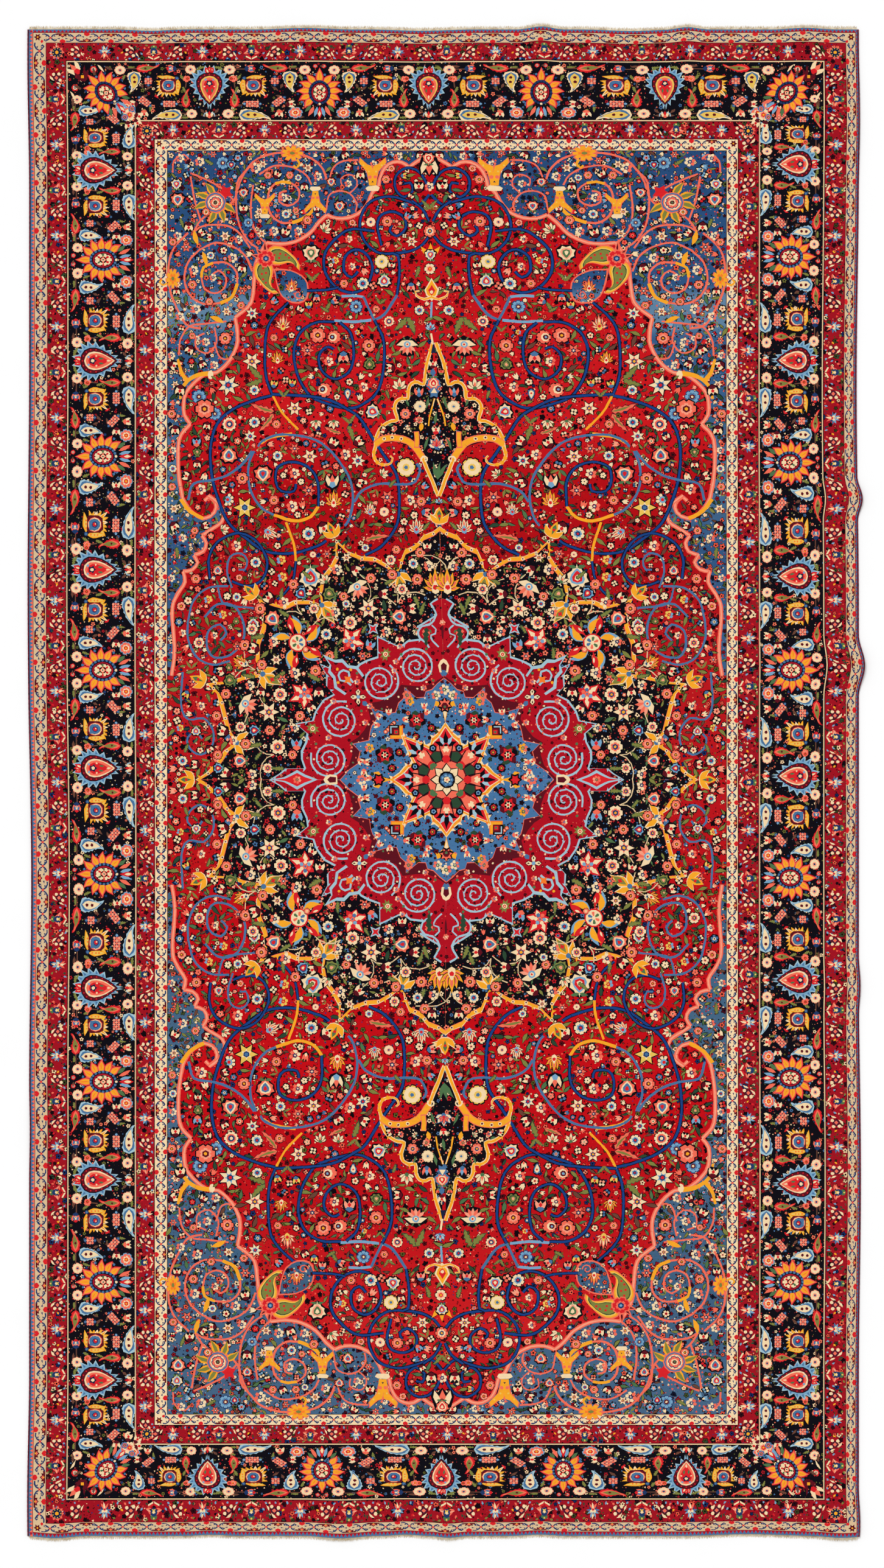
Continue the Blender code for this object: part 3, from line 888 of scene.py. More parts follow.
def flamePalmette(spot, size, flame="gold", inner="coral", heart="cream", edge="black"):
    for angle, length in ((-105, 0.9), (105, 0.9), (-68, 1.05), (68, 1.05), (-34, 1.15), (34, 1.15),
                          (0, 1.4)):
        s = spot.spot(0, angle)
        bend = 0.5 if angle < 0 else -0.5 if angle else 0.0
        if edge:
            lay(s, edge, spindle(size * length + 2, (size * 0.44 + 1, size * 0.46 + 1, size * 0.2 + 1),
                                 bend, base=-1))
        lay(s, flame, spindle(size * length, (size * 0.4, size * 0.42, size * 0.18), bend))
        lay(s, inner, spindle(size * length * 0.66, (size * 0.2, size * 0.2), bend, base=size * 0.1))
    lay(spot, heart, drop(size, size * 0.62, sides=8))
    lay(spot, "scarlet", disc(size * 0.2, 5))


def leafPair(spot, size):
    for flip in (False, True):
        s = spot.spot(0, flip=flip).spot(0, 28)
        leaf(s, "forest", size + 2, size * 0.36, 0.5, True)
        leaf(s, "olive", size, size * 0.28, 0.5, True)


def tooth(spot, size):
    layers(spot, black=disc(size * 1.12, 10), cream=lobed(10, size * 0.86, size * 1.04),
           coral=disc(size * 0.72, 9), navy=disc(size * 0.5, 8))
    lay(spot, "cream", disc(size * 0.26, 6))


def cluster(spot, size, yarn="cream", other="coral", heart="navy"):
    for angle in around(6, 0.3):
        lay(spot.spot(cmath.rect(size * 0.66, angle)), yarn if round(angle * 10) % 2 else other,
            disc(size * 0.36, 5))
    lay(spot, heart, disc(size * 0.36, 6))
    lay(spot, yarn, disc(size * 0.17, 5))


def paisleyDrop(spot, size):
    layers(spot, black=[size * 1.12 * p for p in drop(2.4, 1.5, sides=12)],
           blue=[size * p for p in drop(2.4, 1.5, 8, 0.16)],
           cream=[size * p for p in drop(1.7, 0.95, sides=9)])
    lay(spot.spot(-0.2 * size), "scarlet", disc(size * 0.22, 5))


def crescent(spot, size):
    layers(spot, black=disc(size * 1.1, 9), coral=lobed(7, size * 0.8, size),
           cream=disc(size * 0.62, 8, at=size * 0.2), maroon=disc(size * 0.42, 7, at=size * 0.3),
           sky=disc(size * 0.2, 5, at=size * 0.3))


def toothedLeaf(spot, size):
    leaf(spot, "olive", size, size * 0.3, 0.4, True, "forest")


def veinedLeaf(spot, size):
    leaf(spot, "coral", size, size * 0.24, 0.4, True, "maroon")
    leaf(spot, "olive", size * 0.8, size * 0.1, 0.4)


# Each kind of bloom: the motif, its share of the bloom's size, then its yarns from the outside in.
kinds = {
    "daisy": (daisy, 1, "cream", "pink", "navy", 8, "black"),
    "straw": (daisy, 1, "cream", "straw", "blue", 9, "black"),
    "coral": (rosette, 1, "coral", "pink", "maroon", 6),
    "pink": (rosette, 1, "pink", "coral", "maroon", 5),
    "cream": (rosette, 1, "cream", "coral", "navy", 6),
    "skyish": (rosette, 1, "cream", "sky", "navy", 7, "black", "scarlet"),
    "blues": (rosette, 1, "sky", "blue", "maroon", 8, "navy", "cream"),
    "star": (starFlowerOf, 1),
    "blueStar": (starFlowerOf, 1, "cream", "sky", "scarlet", 7),
    "redStar": (starFlowerOf, 1, "coral", "maroon", "cream", 6),
    "goldStar": (starFlowerOf, 1, "straw", "cream", "blue", 6),
    "palmette": (palmette, 1 / 1.3),
    "redPalmette": (palmette, 1 / 1.3, "coral", "cream", "blue", "scarlet"),
    "bluePalm": (palmette, 1 / 1.3, "sky", "navy", "scarlet", "cream"),
    "greenPalm": (palmette, 1 / 1.3, "olive", "forest", "olive", "pink"),
    "creamPalm": (palmette, 1 / 1.3, "cream", "pink", "green", "cream"),
    "lotus": (lotus, 1),
    "lily": (lily, 1),
    "flame": (flamePalmette, 1),
    "redFlame": (flamePalmette, 1, "coral", "cream", "straw"),
    "creamFlame": (flamePalmette, 1, "cream", "coral", "sky"),
    "leaves": (leafPair, 1),
    "leaf": (toothedLeaf, 1),
    "redLeaf": (veinedLeaf, 1),
    "bud": (bud, 1),
    "pinkBud": (bud, 1, "pink", "blue"),
    "goldBud": (bud, 1, "straw", "blue"),
    "skyBud": (bud, 1, "sky", "coral"),
    "tulip": (tulip, 1),
    "fan": (fanFlower, 1 / 1.5),
    "tooth": (tooth, 1),
    "cluster": (cluster, 1),
    "goldCluster": (cluster, 1, "straw", "sky", "scarlet"),
    "drop": (paisleyDrop, 1),
    "crescent": (crescent, 1),
}

Bloom = namedtuple("Bloom", "kind x y size turn", defaults=(0,))
fieldBlooms = [Bloom(*row) for row in (
    ("lotus", 532, 379, 13, -50), ("pink", 579, 366, 6), ("coral", 634, 295, 8), ("pink", 643, 277, 6),
    ("daisy", 609, 365, 9), ("coral", 636, 364, 10), ("star", 676, 397, 11), ("skyBud", 669, 356, 6, -60),
    ("creamPalm", 511, 418, 17, -90), ("leaves", 513, 462, 20, -90), ("cluster", 573, 393, 7),
    ("straw", 627, 430, 13), ("palmette", 631, 460, 14, 90), ("bud", 643, 438, 6, -80),
    ("cluster", 578, 438, 7), ("skyish", 596, 466, 11), ("coral", 565, 466, 8),
    ("goldCluster", 551, 428, 7), ("pinkBud", 520, 489, 6, 90), ("leaf", 536, 510, 20, -70),
    ("leaf", 540, 512, 18, 200), ("pinkBud", 549, 495, 6, -30), ("blues", 585, 504, 11),
    ("coral", 618, 508, 7), ("leaves", 624, 500, 16, -80), ("goldBud", 507, 502, 6, -90),
    ("bud", 492, 510, 6, -60), ("leaf", 500, 514, 16, 30), ("blueStar", 414, 515, 12),
    ("leaf", 428, 508, 16, -60), ("skyBud", 450, 495, 6, -40), ("redFlame", 465, 536, 16, -88),
    ("coral", 450, 555, 7), ("coral", 522, 551, 14), ("crescent", 549, 554, 12, 180),
    ("redStar", 505, 576, 12), ("pinkBud", 564, 586, 9, 90), ("cluster", 540, 594, 9),
    ("coral", 606, 568, 12), ("greenPalm", 607, 597, 12, 90), ("goldCluster", 587, 546, 5),
    ("leaves", 612, 545, 14, -90), ("tooth", 639, 528, 9), ("lily", 669, 566, 15, 90),
    ("leaf", 669, 522, 34, 125), ("leaf", 669, 522, 34, 55), ("bud", 642, 605, 7, 180),
    ("lotus", 656, 638, 15, -90), ("skyish", 689, 510, 9), ("pinkBud", 675, 471, 7, 90),
    ("leaf", 688, 438, 22, 95), ("bud", 688, 309, 8, -90), ("goldBud", 663, 289, 5),
    ("bud", 674, 324, 5, -60), ("flame", 456, 592, 13, -95), ("star", 414, 594, 17),
    ("blueStar", 375, 633, 20), ("leaf", 430, 622, 34, 215), ("leaf", 430, 624, 32, 150),
    ("skyish", 418, 641, 9), ("goldBud", 450, 632, 6, -80), ("goldBud", 480, 630, 6, -80),
    ("leaves", 466, 652, 18, -90), ("crescent", 533, 641, 13, 200), ("drop", 571, 648, 9, 90),
    ("cluster", 597, 636, 9), ("star", 484, 671, 14), ("lotus", 519, 692, 12, 90),
    ("lotus", 548, 692, 12, 90), ("palmette", 614, 677, 15, 200), ("blues", 327, 652, 12),
    ("blues", 353, 680, 11), ("coral", 336, 672, 17), ("leaf", 634, 642, 16, 60), ("tooth", 377, 697, 12),
    ("skyish", 418, 694, 10), ("coral", 454, 697, 8), ("blueStar", 411, 717, 12), ("bud", 366, 720, 6, -60),
    ("bud", 340, 699, 6, 100), ("redLeaf", 450, 676, 46, 187), ("redLeaf", 449, 680, 42, 118),
    ("skyBud", 323, 728, 7, -90), ("greenPalm", 324, 744, 9, -90), ("bud", 324, 762, 6, 90),
    ("redPalmette", 376, 746, 17, 90), ("bud", 308, 783, 7, 200), ("cluster", 330, 804, 10),
    ("coral", 398, 786, 11), ("bud", 366, 804, 6, 20), ("redPalmette", 432, 781, 18, -90),
    ("skyish", 456, 749, 9), ("redStar", 484, 737, 10), ("star", 509, 750, 14), ("cluster", 484, 778, 10),
    ("redStar", 507, 806, 12), ("coral", 450, 822, 9), ("cluster", 480, 832, 11),
    ("flame", 548, 826, 17, -90), ("tulip", 546, 793, 10, -90), ("goldStar", 402, 834, 20),
    ("fan", 374, 821, 12, 20), ("lotus", 365, 871, 11, -20), ("creamFlame", 440, 874, 15, 30),
    ("skyish", 507, 877, 12), ("bud", 531, 866, 9, 70), ("palmette", 510, 946, 23, 90),
    ("pinkBud", 493, 970, 9, 120), ("redStar", 537, 910, 9), ("cluster", 388, 897, 10),
    ("redPalmette", 358, 936, 11, 90), ("skyish", 420, 924, 10), ("pink", 393, 949, 6),
    ("goldCluster", 462, 920, 9), ("goldCluster", 464, 948, 9), ("leaf", 462, 985, 22, -95),
    ("coral", 322, 951, 9), ("skyish", 389, 981, 8), ("goldCluster", 342, 985, 8), ("pink", 298, 996, 8),
    ("goldCluster", 366, 1010, 8), ("greenPalm", 388, 1020, 7, 90), ("cream", 327, 1056, 10),
    ("cluster", 352, 1044, 7), ("palmette", 416, 1024, 13, 90), ("leaf", 416, 1040, 18, 90),
    ("redStar", 390, 1062, 9), ("blueStar", 588, 757, 13), ("cluster", 567, 747, 10),
    ("bud", 547, 729, 8, -60), ("bud", 588, 726, 8, -30), ("lotus", 627, 780, 11, -30),
    ("bud", 589, 793, 7, 20), ("straw", 667, 768, 17), ("redStar", 636, 817, 13),
    ("creamFlame", 608, 841, 13, -90), ("daisy", 631, 841, 9), ("cluster", 673, 822, 10),
    ("coral", 692, 824, 9), ("skyBud", 697, 799, 6, -40), ("pinkBud", 699, 842, 7, 10),
    ("creamFlame", 684, 870, 16, -90), ("redLeaf", 600, 888, 46, -22), ("coral", 651, 903, 8),
    ("skyish", 600, 900, 7), ("redLeaf", 668, 920, 30, -35), ("daisy", 514, 911, 6),
    ("leaves", 575, 696, 20, -100), ("redLeaf", 560, 712, 34, 190), ("leaf", 572, 700, 30, 60),
    ("leaf", 640, 800, 18, -60), ("leaf", 696, 870, 18, -60), ("leaves", 430, 985, 12, -90),
    ("bud", 296, 640, 8, 100), ("cluster", 300, 1040, 7), ("redStar", 318, 1120, 10), ("bud", 340, 1128, 6),
    ("greenPalm", 376, 1096, 8, 90), ("cluster", 330, 1160, 8), ("coral", 356, 1176, 9),
    ("palmette", 322, 1200, 10, 90), ("skyish", 300, 1250, 9), ("bud", 322, 1256, 7, 180),
    ("goldCluster", 296, 1196, 7), ("leaf", 304, 1236, 18, -80), ("redStar", 296, 1084, 8),
    ("coral", 356, 1246, 7), ("bud", 344, 1230, 6, 60), ("leaf", 340, 1140, 16, 60),
    ("goldBud", 306, 1140, 6, 120),
)]
spandrelBlooms = [Bloom(*row) for row in (
    ("redPalmette", 292, 330, 14, -90), ("palmette", 290, 304, 11, -90), ("cluster", 328, 266, 9),
    ("blues", 366, 268, 11), ("bluePalm", 380, 272, 9, -90), ("cluster", 296, 260, 8),
    ("redStar", 350, 254, 7), ("cluster", 420, 276, 10), ("star", 432, 270, 8), ("redStar", 460, 264, 7),
    ("star", 506, 276, 9), ("cluster", 522, 290, 8), ("coral", 440, 288, 7), ("bud", 455, 288, 6, -60),
    ("coral", 476, 288, 7), ("skyish", 490, 292, 6), ("bud", 500, 306, 6, 90), ("cluster", 466, 325, 8),
    ("skyBud", 452, 320, 4), ("skyish", 470, 352, 8), ("coral", 486, 346, 6),
    ("redPalmette", 400, 318, 10, -90), ("bud", 400, 345, 7, -90), ("blues", 408, 366, 8),
    ("star", 426, 348, 9), ("cluster", 450, 380, 9), ("bud", 468, 384, 7, -70), ("cluster", 490, 380, 8),
    ("coral", 505, 362, 8), ("star", 430, 384, 9), ("bud", 520, 345, 5, -90),
    ("redPalmette", 558, 340, 11, -90), ("cluster", 572, 302, 7), ("bud", 592, 286, 7, 90),
    ("redStar", 590, 325, 7), ("bud", 574, 276, 6, 200), ("cluster", 614, 270, 7),
    ("redStar", 600, 252, 7, 90), ("bud", 690, 254, 6, 90), ("cluster", 655, 257, 7),
    ("bud", 566, 254, 6, 60), ("cluster", 550, 262, 6), ("redPalmette", 544, 300, 9, -90),
    ("star", 370, 388, 10), ("cluster", 392, 394, 8), ("bud", 346, 390, 6, 180), ("redStar", 306, 406, 10),
    ("bud", 330, 384, 6, -40), ("cluster", 292, 388, 8), ("coral", 284, 398, 7), ("cluster", 318, 444, 9),
    ("skyish", 346, 420, 7), ("cluster", 382, 424, 9), ("bud", 398, 440, 7, 100), ("coral", 316, 468, 8),
    ("cluster", 350, 456, 7), ("redStar", 398, 478, 9), ("star", 372, 512, 9), ("cluster", 322, 508, 9),
    ("coral", 344, 496, 7), ("coral", 396, 502, 7), ("bud", 290, 478, 6, 90), ("cluster", 296, 520, 8),
    ("coral", 370, 556, 11), ("cluster", 338, 562, 8), ("bud", 312, 574, 7, 120), ("coral", 316, 552, 6),
    ("cluster", 352, 600, 8), ("bud", 332, 598, 6, 60), ("redStar", 284, 560, 7), ("bud", 284, 600, 7, 30),
    ("star", 288, 632, 8), ("cluster", 282, 584, 7), ("coral", 282, 680, 8), ("bud", 288, 706, 7, 90),
    ("cluster", 284, 740, 7), ("skyish", 284, 770, 7), ("coral", 283, 800, 7), ("star", 286, 836, 9),
    ("bud", 286, 864, 7, 60), ("cluster", 300, 884, 8), ("coral", 320, 872, 7), ("bud", 336, 864, 6, -20),
    ("redStar", 290, 912, 8), ("cluster", 282, 950, 7), ("leaf", 290, 900, 20, 75),
    ("leaf", 350, 270, 18, 200), ("leaf", 340, 396, 16, 190), ("leaf", 296, 360, 18, 60),
    ("bud", 310, 372, 7, 90), ("cluster", 324, 556, 5),
)]


def plant(spot, blooms, grown):
    for bloom in blooms:
        motif, share, *details = kinds[bloom.kind]
        motif(spot.across(bloom.x, bloom.y, bloom.turn), bloom.size * grown * share, *details)


def twinPaisleys(spot):
    for at, turn, flip in ((468 + 421j, 6, True), (434 + 458j, 84, False)):
        s = spot.spot(at, turn, flip=flip)
        widths = (0.7, 0.95, 1.0, 0.92, 0.72, 0.5, 0.34, 0.24, 0.18)
        for yarn, length, width, base in (("coral", 70, 34, -34), ("gold", 66, 30, -32),
                                          ("straw", 60, 25, -29), ("forest", 55, 21, -27),
                                          ("olive", 51, 18, -25)):
            lay(s, yarn, spindle(length, [w * width for w in widths], -1.5, 3.2, base=base))
        for at in (-17, -8 + 3j, -9 - 4j, 1 + 2j, 7 - 2j):
            lay(s, "scarlet", disc(2.3, 4, at=at))
    heart = spot.spot(437 + 425j)
    for angle, length in ((-95, 30), (-135, 24), (-165, 26), (-65, 14), (160, 16)):
        lay(heart.spot(0, angle), "coral", spindle(length, (7, 9, 5)))
        lay(heart.spot(0, angle), "maroon" if length > 20 else "scarlet",
            spindle(length - 8, (2, 3), base=4))
    rosette(heart, 13, "scarlet", "coral", "navy", 7, "coral", "sky")


def flameMedal(spot):
    compartment = smooth(path((452, 444), (478, 446), (500, 459), (505, 480), (498, 494), (480, 496),
                              (464, 486), (456, 466), (452, 444)), 8)[:-1]
    grow = 479 + 470j
    layers(spot, coral=[grow + 1.1 * (p - grow) for p in compartment], spandrel=compartment)
    flamePalmette(spot.spot(479 + 474j, -90), 12, "coral", "gold", "cream", "maroon")
    curlLine = [490 + 484j + p for p in curl(8, 2, 0, 1.2)]
    stroke(spot, "coral", curlLine, 1.8, gap=4)


def crown(s):
    for flip in (False, True):
        side = s.spot(0, flip=flip)
        for yarn, grow in (("coral", 1.5), ("gold", 0.0)):
            lay(side, yarn, [-2 - grow, 4 + (6 + grow) * 1j, 18 + (9 + grow) * 1j, 32 + grow + (22 + grow)
                             * 1j, 40 + grow + (20 + grow) * 1j, 30 + (10 - grow) * 1j,
                             27 + (2 - grow) * 1j, 16 - 2j, 6])
        for at in (8 + 4j, 18 + 6j, 28 + 15j):
            lay(side, "straw", disc(1.7, 5, at=at))
    layers(s, cream=[-14 - 9j, -9 - 12j, -6 - 7j, -5 + 7j, -9 + 12j, -14 + 9j],
           gold=[-5 - 6j, 5 - 7j, 5 + 7j, -5 + 6j], night=[0 - 2j, 3, 0 + 2j], coral=disc(3, 6, at=9 - 4j))
    lay(s, "coral", disc(3, 6, at=9 + 4j))


def orangeCloud(spot):
    layers(spot, coral=lobed(9, 12, 19, squash=0.72), gold=lobed(9, 10.5, 17, squash=0.70),
           orange=lobed(5, 5, 10, squash=0.6), olive=disc(4.5, 6, 0.6))
    stroke(spot, "gold", [8 + 10j, 12 + 18j, 6 + 24j, 2 + 20j], 3.4, gap=5)


def spandrelMedal(spot):
    s = spot.spot(354 + 333j, -45)
    for angle in (-140, -100, -60, 60, 100, 140):
        for yarn, width in (("gold", 10), ("olive", 5)):
            lay(s.spot(0, angle), yarn, spindle(28, (width, width * 1.2, width * 0.6),
                                                0.6 if angle > 0 else -0.6, base=10))
    layers(s, scarlet=[p + 24 for p in lobed(5, 7, 13, True)], coral=disc(17.5, 12), blue=disc(16.0, 12))
    layers(s, coral=disc(13.6, 12), cream=disc(12.2, 10))
    rosette(s, 9, "coral", "cream", "maroon", 6, "navy", "green")
    rosette(s.spot(-22), 6.5, "coral", "cream", "maroon", 5)


def spandrel(spot):
    upper = curveThrough(spandrelArches[:5]) + curveThrough(spandrelArches[5:8])
    edge = upper + curveThrough(spandrelArches[8:])[1:]
    ground = edge[:-2] + smooth(curlBack, 8) + curveThrough(spandrelFoot)
    lay(spot, "spandrel", [fieldLeft + 1j * fieldTop, 705 + 1j * fieldTop] + ground + [fieldLeft + 1110j])
    scatter(spot, "spandrel")
    drawVines(spot, spandrelVines)
    spandrelMedal(spot)
    plant(spot, spandrelBlooms, 0.92)
    for arch in spandrelRim:
        edged(spot, arch, 2.6, 6.4, "pink", "coral", gap=9)
    stroke(spot, "gold", path((297, 820), (312, 840), (334, 852)), 6, gap=8)
    stroke(spot, "gold", path((343, 614), (326, 616), (308, 626), (299, 640), (296, 656)), 8, 4, gap=7)
    stroke(spot, "gold", path((308, 626), (298, 612), (292, 590)), 7, 4, gap=7)
    lay(spot.spot(346 + 616j), "cream", disc(5, 7, 1.5))
    crown(spot.spot(612 + 300j, -90))
    crown(spot.spot(518 + 318j, 90, 0.8))
    crown(spot.spot(435 + 348j, -90, 0.75))
    for at, turn in ((336 + 420j, 60), (322 + 396j, 240), (352 + 522j, 10)):
        lay(spot.spot(at, turn), "gold", spindle(26, (6, 8, 6), 0.5, base=-8))
    orangeCloud(spot.spot(480 + 252j))
    orangeCloud(spot.spot(284 + 458j, 90, 0.9))
    twinPaisleys(spot)
    flameMedal(spot)


def inside(outline, z):
    odd = False
    for a, b in zip(outline, outline[1:] + outline[:1]):
        if (a.imag > z.imag) != (b.imag > z.imag):
            if z.real < a.real + (z.imag - a.imag) / (b.imag - a.imag) * (b.real - a.real):
                odd = not odd
    return odd


fillSeeds = {"spandrel": 5, "field": 11, "medallion": 17}
fillCell = 24
scatterYarns = {
    "spandrel": ("coral", "cream", "coral", "scarlet", "sky", "cream", "pink"),
    "field": ("cream", "coral", "cream", "pink", "blue", "coral", "cream"),
    "medallion": ("cream", "coral", "pink", "scarlet", "cream", "coral", "blue"),
}
# Each round of filling: the share that are leaves, then their sizes, then how many places are tried.
Filling = namedtuple("Filling", "leaves least most tries")
fillings = {
    "field": (Filling(0.5, 5.4, 7.4, 4000), Filling(0.6, 3.4, 4.6, 9000)),
    "spandrel": (Filling(0.4, 4.8, 6.4, 3000), Filling(0.5, 3.2, 4.4, 7000)),
    "medallion": (Filling(0.35, 6.0, 7.6, 1200), Filling(0.55, 3.6, 4.8, 3000),
                  Filling(0.5, 2.3, 3.0, 3000)),
}
leafYarns = ("olive", "olive", "green", "forest", "brown")


def littleBloom(spot, kind, first, second, size):
    if kind < 0.35:
        if size > 3.2:
            lay(spot, "black", disc(size * 1.2, 7))
        lay(spot, first, lobed(5, size * 0.52, size * 0.88))
        lay(spot, second, disc(size * 0.42, 5))
        if size > 5:
            lay(spot, "black", disc(size * 0.22, 4))
    elif kind < 0.6:
        if size > 3.2:
            lay(spot, "black", disc(size * 1.15, 6))
        for angle in around(4, 0.4):
            lay(spot.spot(cmath.rect(size * 0.55, angle)), first if angle < 2 else second,
                disc(size * 0.38, 5))
    elif kind < 0.85:
        if size > 3.2:
            lay(spot, "black", spindle(size * 2.6, (size * 1.5, size * 1.7, size), base=-size * 1.3))
        lay(spot, first, [size * p for p in (-0.7, -0.3 - 0.6j, 1.0 - 0.75j, 0.5 - 0.2j, 1.2, 0.5 + 0.2j,
                                             1.0 + 0.75j, -0.3 + 0.6j)])
        lay(spot, second, spindle(size * 0.9, (size * 0.6, size * 0.5), base=-size * 0.9))
    else:
        for turn in (-38, 38):
            leaf(spot.spot(-size, turn), "olive", size * 2.2, size * 0.6, 0.3)
        lay(spot.spot(size * 0.6), "black", disc(size * 0.62, 6))
        lay(spot.spot(size * 0.6), first, disc(size * 0.46, 5))


def littleLeaf(spot, yarn, size, bend):
    if size > 3.2:
        lay(spot, "black", spindle(size * 3.0 + 2, (size * 0.9 + 1, size * 1.0 + 1, size * 0.5 + 1), bend,
                                   base=-size * 1.5 - 1))
    lay(spot, yarn, spindle(size * 3.0, (size * 0.8, size * 0.9, size * 0.4), bend, base=-size * 1.5))


# Bare ground is filled from the largest small flowers down to the smallest, where there is room.
def fillGround(ground):
    dice = random.Random(fillSeeds[ground])
    near = {}

    def cellOf(z):
        return int(z.real // fillCell), int(z.imag // fillCell)

    def note(z, reach):
        near.setdefault(cellOf(z), []).append((z, reach))
    for z, reach in takenOf[ground]:
        note(z, reach)
    placed = []
    for filling in fillings[ground]:
        for _ in range(filling.tries):
            z = complex(dice.uniform(fieldLeft + 3, 736), dice.uniform(fieldTop + 3, fieldMiddle))
            size = dice.uniform(filling.least, filling.most)
            leafy = dice.random() < filling.leaves
            kind, turn, bend = dice.random(), dice.uniform(0, 360), dice.uniform(-0.9, 0.9)
            yarn = dice.choice(leafYarns)
            first, second = dice.sample(scatterYarns[ground], 2)
            if z.real > axisAt(z.imag) - size:
                continue
            column, row = cellOf(z)
            crowded = any(abs(z - at) < reach + size * 0.92 for i in (-1, 0, 1) for j in (-1, 0, 1)
                          for at, reach in near.get((column + i, row + j), ()))
            if crowded or groundAt(z) != ground:
                continue
            note(z, size * (0.8 if leafy else 1.0))
            placed.append((z, turn, leafy, kind, yarn if leafy else first, second, size, bend))
    return placed


def scatter(spot, ground):
    if ground not in filled:
        filled[ground] = fillGround(ground)
    for z, turn, leafy, kind, first, second, size, bend in filled[ground]:
        if leafy:
            littleLeaf(spot.spot(z, turn), first, size, bend)
        else:
            littleBloom(spot.spot(z, turn), kind, first, second, size)


# Places that a ground's large motifs and stems take up, so that no filling flower covers them.
def reserve():
    filled.clear()
    for ground, blooms, vines in (("spandrel", spandrelBlooms, spandrelVines),
                                  ("field", fieldBlooms, fieldVines), ("medallion", medallionBlooms, ())):
        taken = [(complex(b.x, b.y), b.size * 0.95) for b in blooms]
        for vine in vines:
            taken += [(p, vine.width * 0.5) for p in smooth(vine.points, 8)]
        takenOf[ground] = taken
    takenOf["spandrel"] += [(468 + 421j, 22), (434 + 458j, 22), (354 + 333j, 30), (479 + 470j, 24),
                            (612 + 300j, 16), (518 + 325j, 12), (435 + 340j, 12), (480 + 254j, 16),
                            (286 + 460j, 14)]
    takenOf["field"] += [(456 + 418j, 20), (482 + 426j, 20), (430 + 446j, 18), (438 + 476j, 20),
                         (479 + 470j, 34), (437 + 425j, 22), (734 + 500j, 22), (729 + 850j, 14)]
    for ground in ("field", "spandrel"):
        for arch in spandrelRim:
            takenOf[ground] += [(p, 4) for p in smooth(arch, 6)]
    takenOf["field"] += [(p, 8) for p in smooth(pendantEdge, 8) + smooth(pendantCurl, 8)]
    takenOf["medallion"] += [(492 + 1056j, 36), (580 + 1054j, 24), (502 + 1140j, 24)]


filled = {}
takenOf = {}

pendantEdge = path((711, 563), (707, 578), (702, 594), (699, 612), (696, 632), (686, 628), (676, 630),
                   (671, 640), (670, 655), (660, 655), (651, 660), (648, 672), (653, 690), (643, 692),
                   (633, 697), (624, 706), (618, 720), (617, 733))
pendantCurl = path((617, 733), (614, 748), (620, 760), (632, 764), (642, 761), (645, 753), (641, 749))
pendantBar = path((617, 730), (630, 721), (652, 720), (670, 725), (682, 735), (694, 752))
pendantFoot = path((694, 752), (702, 772), (710, 790), (716, 806), (720, 815))


def pendant(spot):
    body = pendantEdge + path((628, 728), (650, 726), (668, 732), (684, 742), (694, 756)) \
        + pendantFoot[1:] + [720 + 700j, 711.5 + 600j]
    lay(spot, "jet", body)
    edge = smooth(pendantEdge, 6)
    edged(spot, pendantEdge, 4, 6)
    for i in range(3, len(edge) - 1, 4):
        run = edge[i + 1] - edge[i]
        s = spot.spot(edge[i], math.degrees(cmath.phase(run)) + 120)
        lay(s, "gold", [-2.4j, 7, 2.4j])
    edged(spot, pendantCurl, 4.2, 6.2, gap=5, ends=(3, 2))
    for share in range(2, 10, 2):
        lay(spot.spot(smooth(pendantCurl, 5)[share]), "gold", disc(3.6, 5))
    edged(spot, pendantBar, 9, 11.5, edgeYarn="coral", gap=7)
    for at in (631 + 721j, 644 + 719j, 659 + 721j):
        layers(spot.spot(at), cream=disc(3.2, 6), maroon=disc(1.8, 5))
    stroke(spot, "coral", (684 + 709j, 685 + 722j, 684 + 736j), 8.5, gap=8)
    stroke(spot, "gold", (684 + 710j, 685 + 722j, 684 + 734j), 6.2, gap=8)
    lay(spot.spot(692 + 702j, -80), "gold", spindle(15, (7, 7), base=-7))
    edged(spot, pendantFoot, 4.2, 6.6, gap=8)
    curlEnd = [698 + 755j + p for p in curl(7, 2, 150, 0.9)]
    stroke(spot, "cream", curlEnd, 2.6, gap=4)
    stroke(spot, "gold", (714 + 655j, 709 + 672j, 706 + 682j, 704 + 700j), 2.6, gap=8)
    stroke(spot, "cream", (714 + 655j, 711 + 668j), 1.2, gap=8)
    daisy(spot.spot(690 + 668j), 10, "cream", "tan", "blue", 9)
    rosette(spot.spot(666 + 680j), 9, "coral", "pink", "navy", 6)
    lotus(spot.spot(672 + 702j, 150), 6, "cream", "coral")
    bud(spot.spot(631 + 707j, 200), 5)
    tulip(spot.spot(688 + 646j, -90), 6.5, "coral", "sky", "blue")
    leaf(spot.spot(672 + 668j, -120), "green", 14, 4)
    leaf(spot.spot(704 + 652j, 95), "green", 22, 5)
    leaf(spot.spot(697 + 740j, -80), "green", 24, 5)
    cluster(spot.spot(688 + 690j), 6, "coral", "pink", "green")
    cluster(spot.spot(648 + 704j), 5, "coral", "cream", "navy")
    leaf(spot.spot(646 + 697j, 160), "green", 10, 4)
    bud(spot.spot(706 + 612j, -90), 4, "coral", "olive")


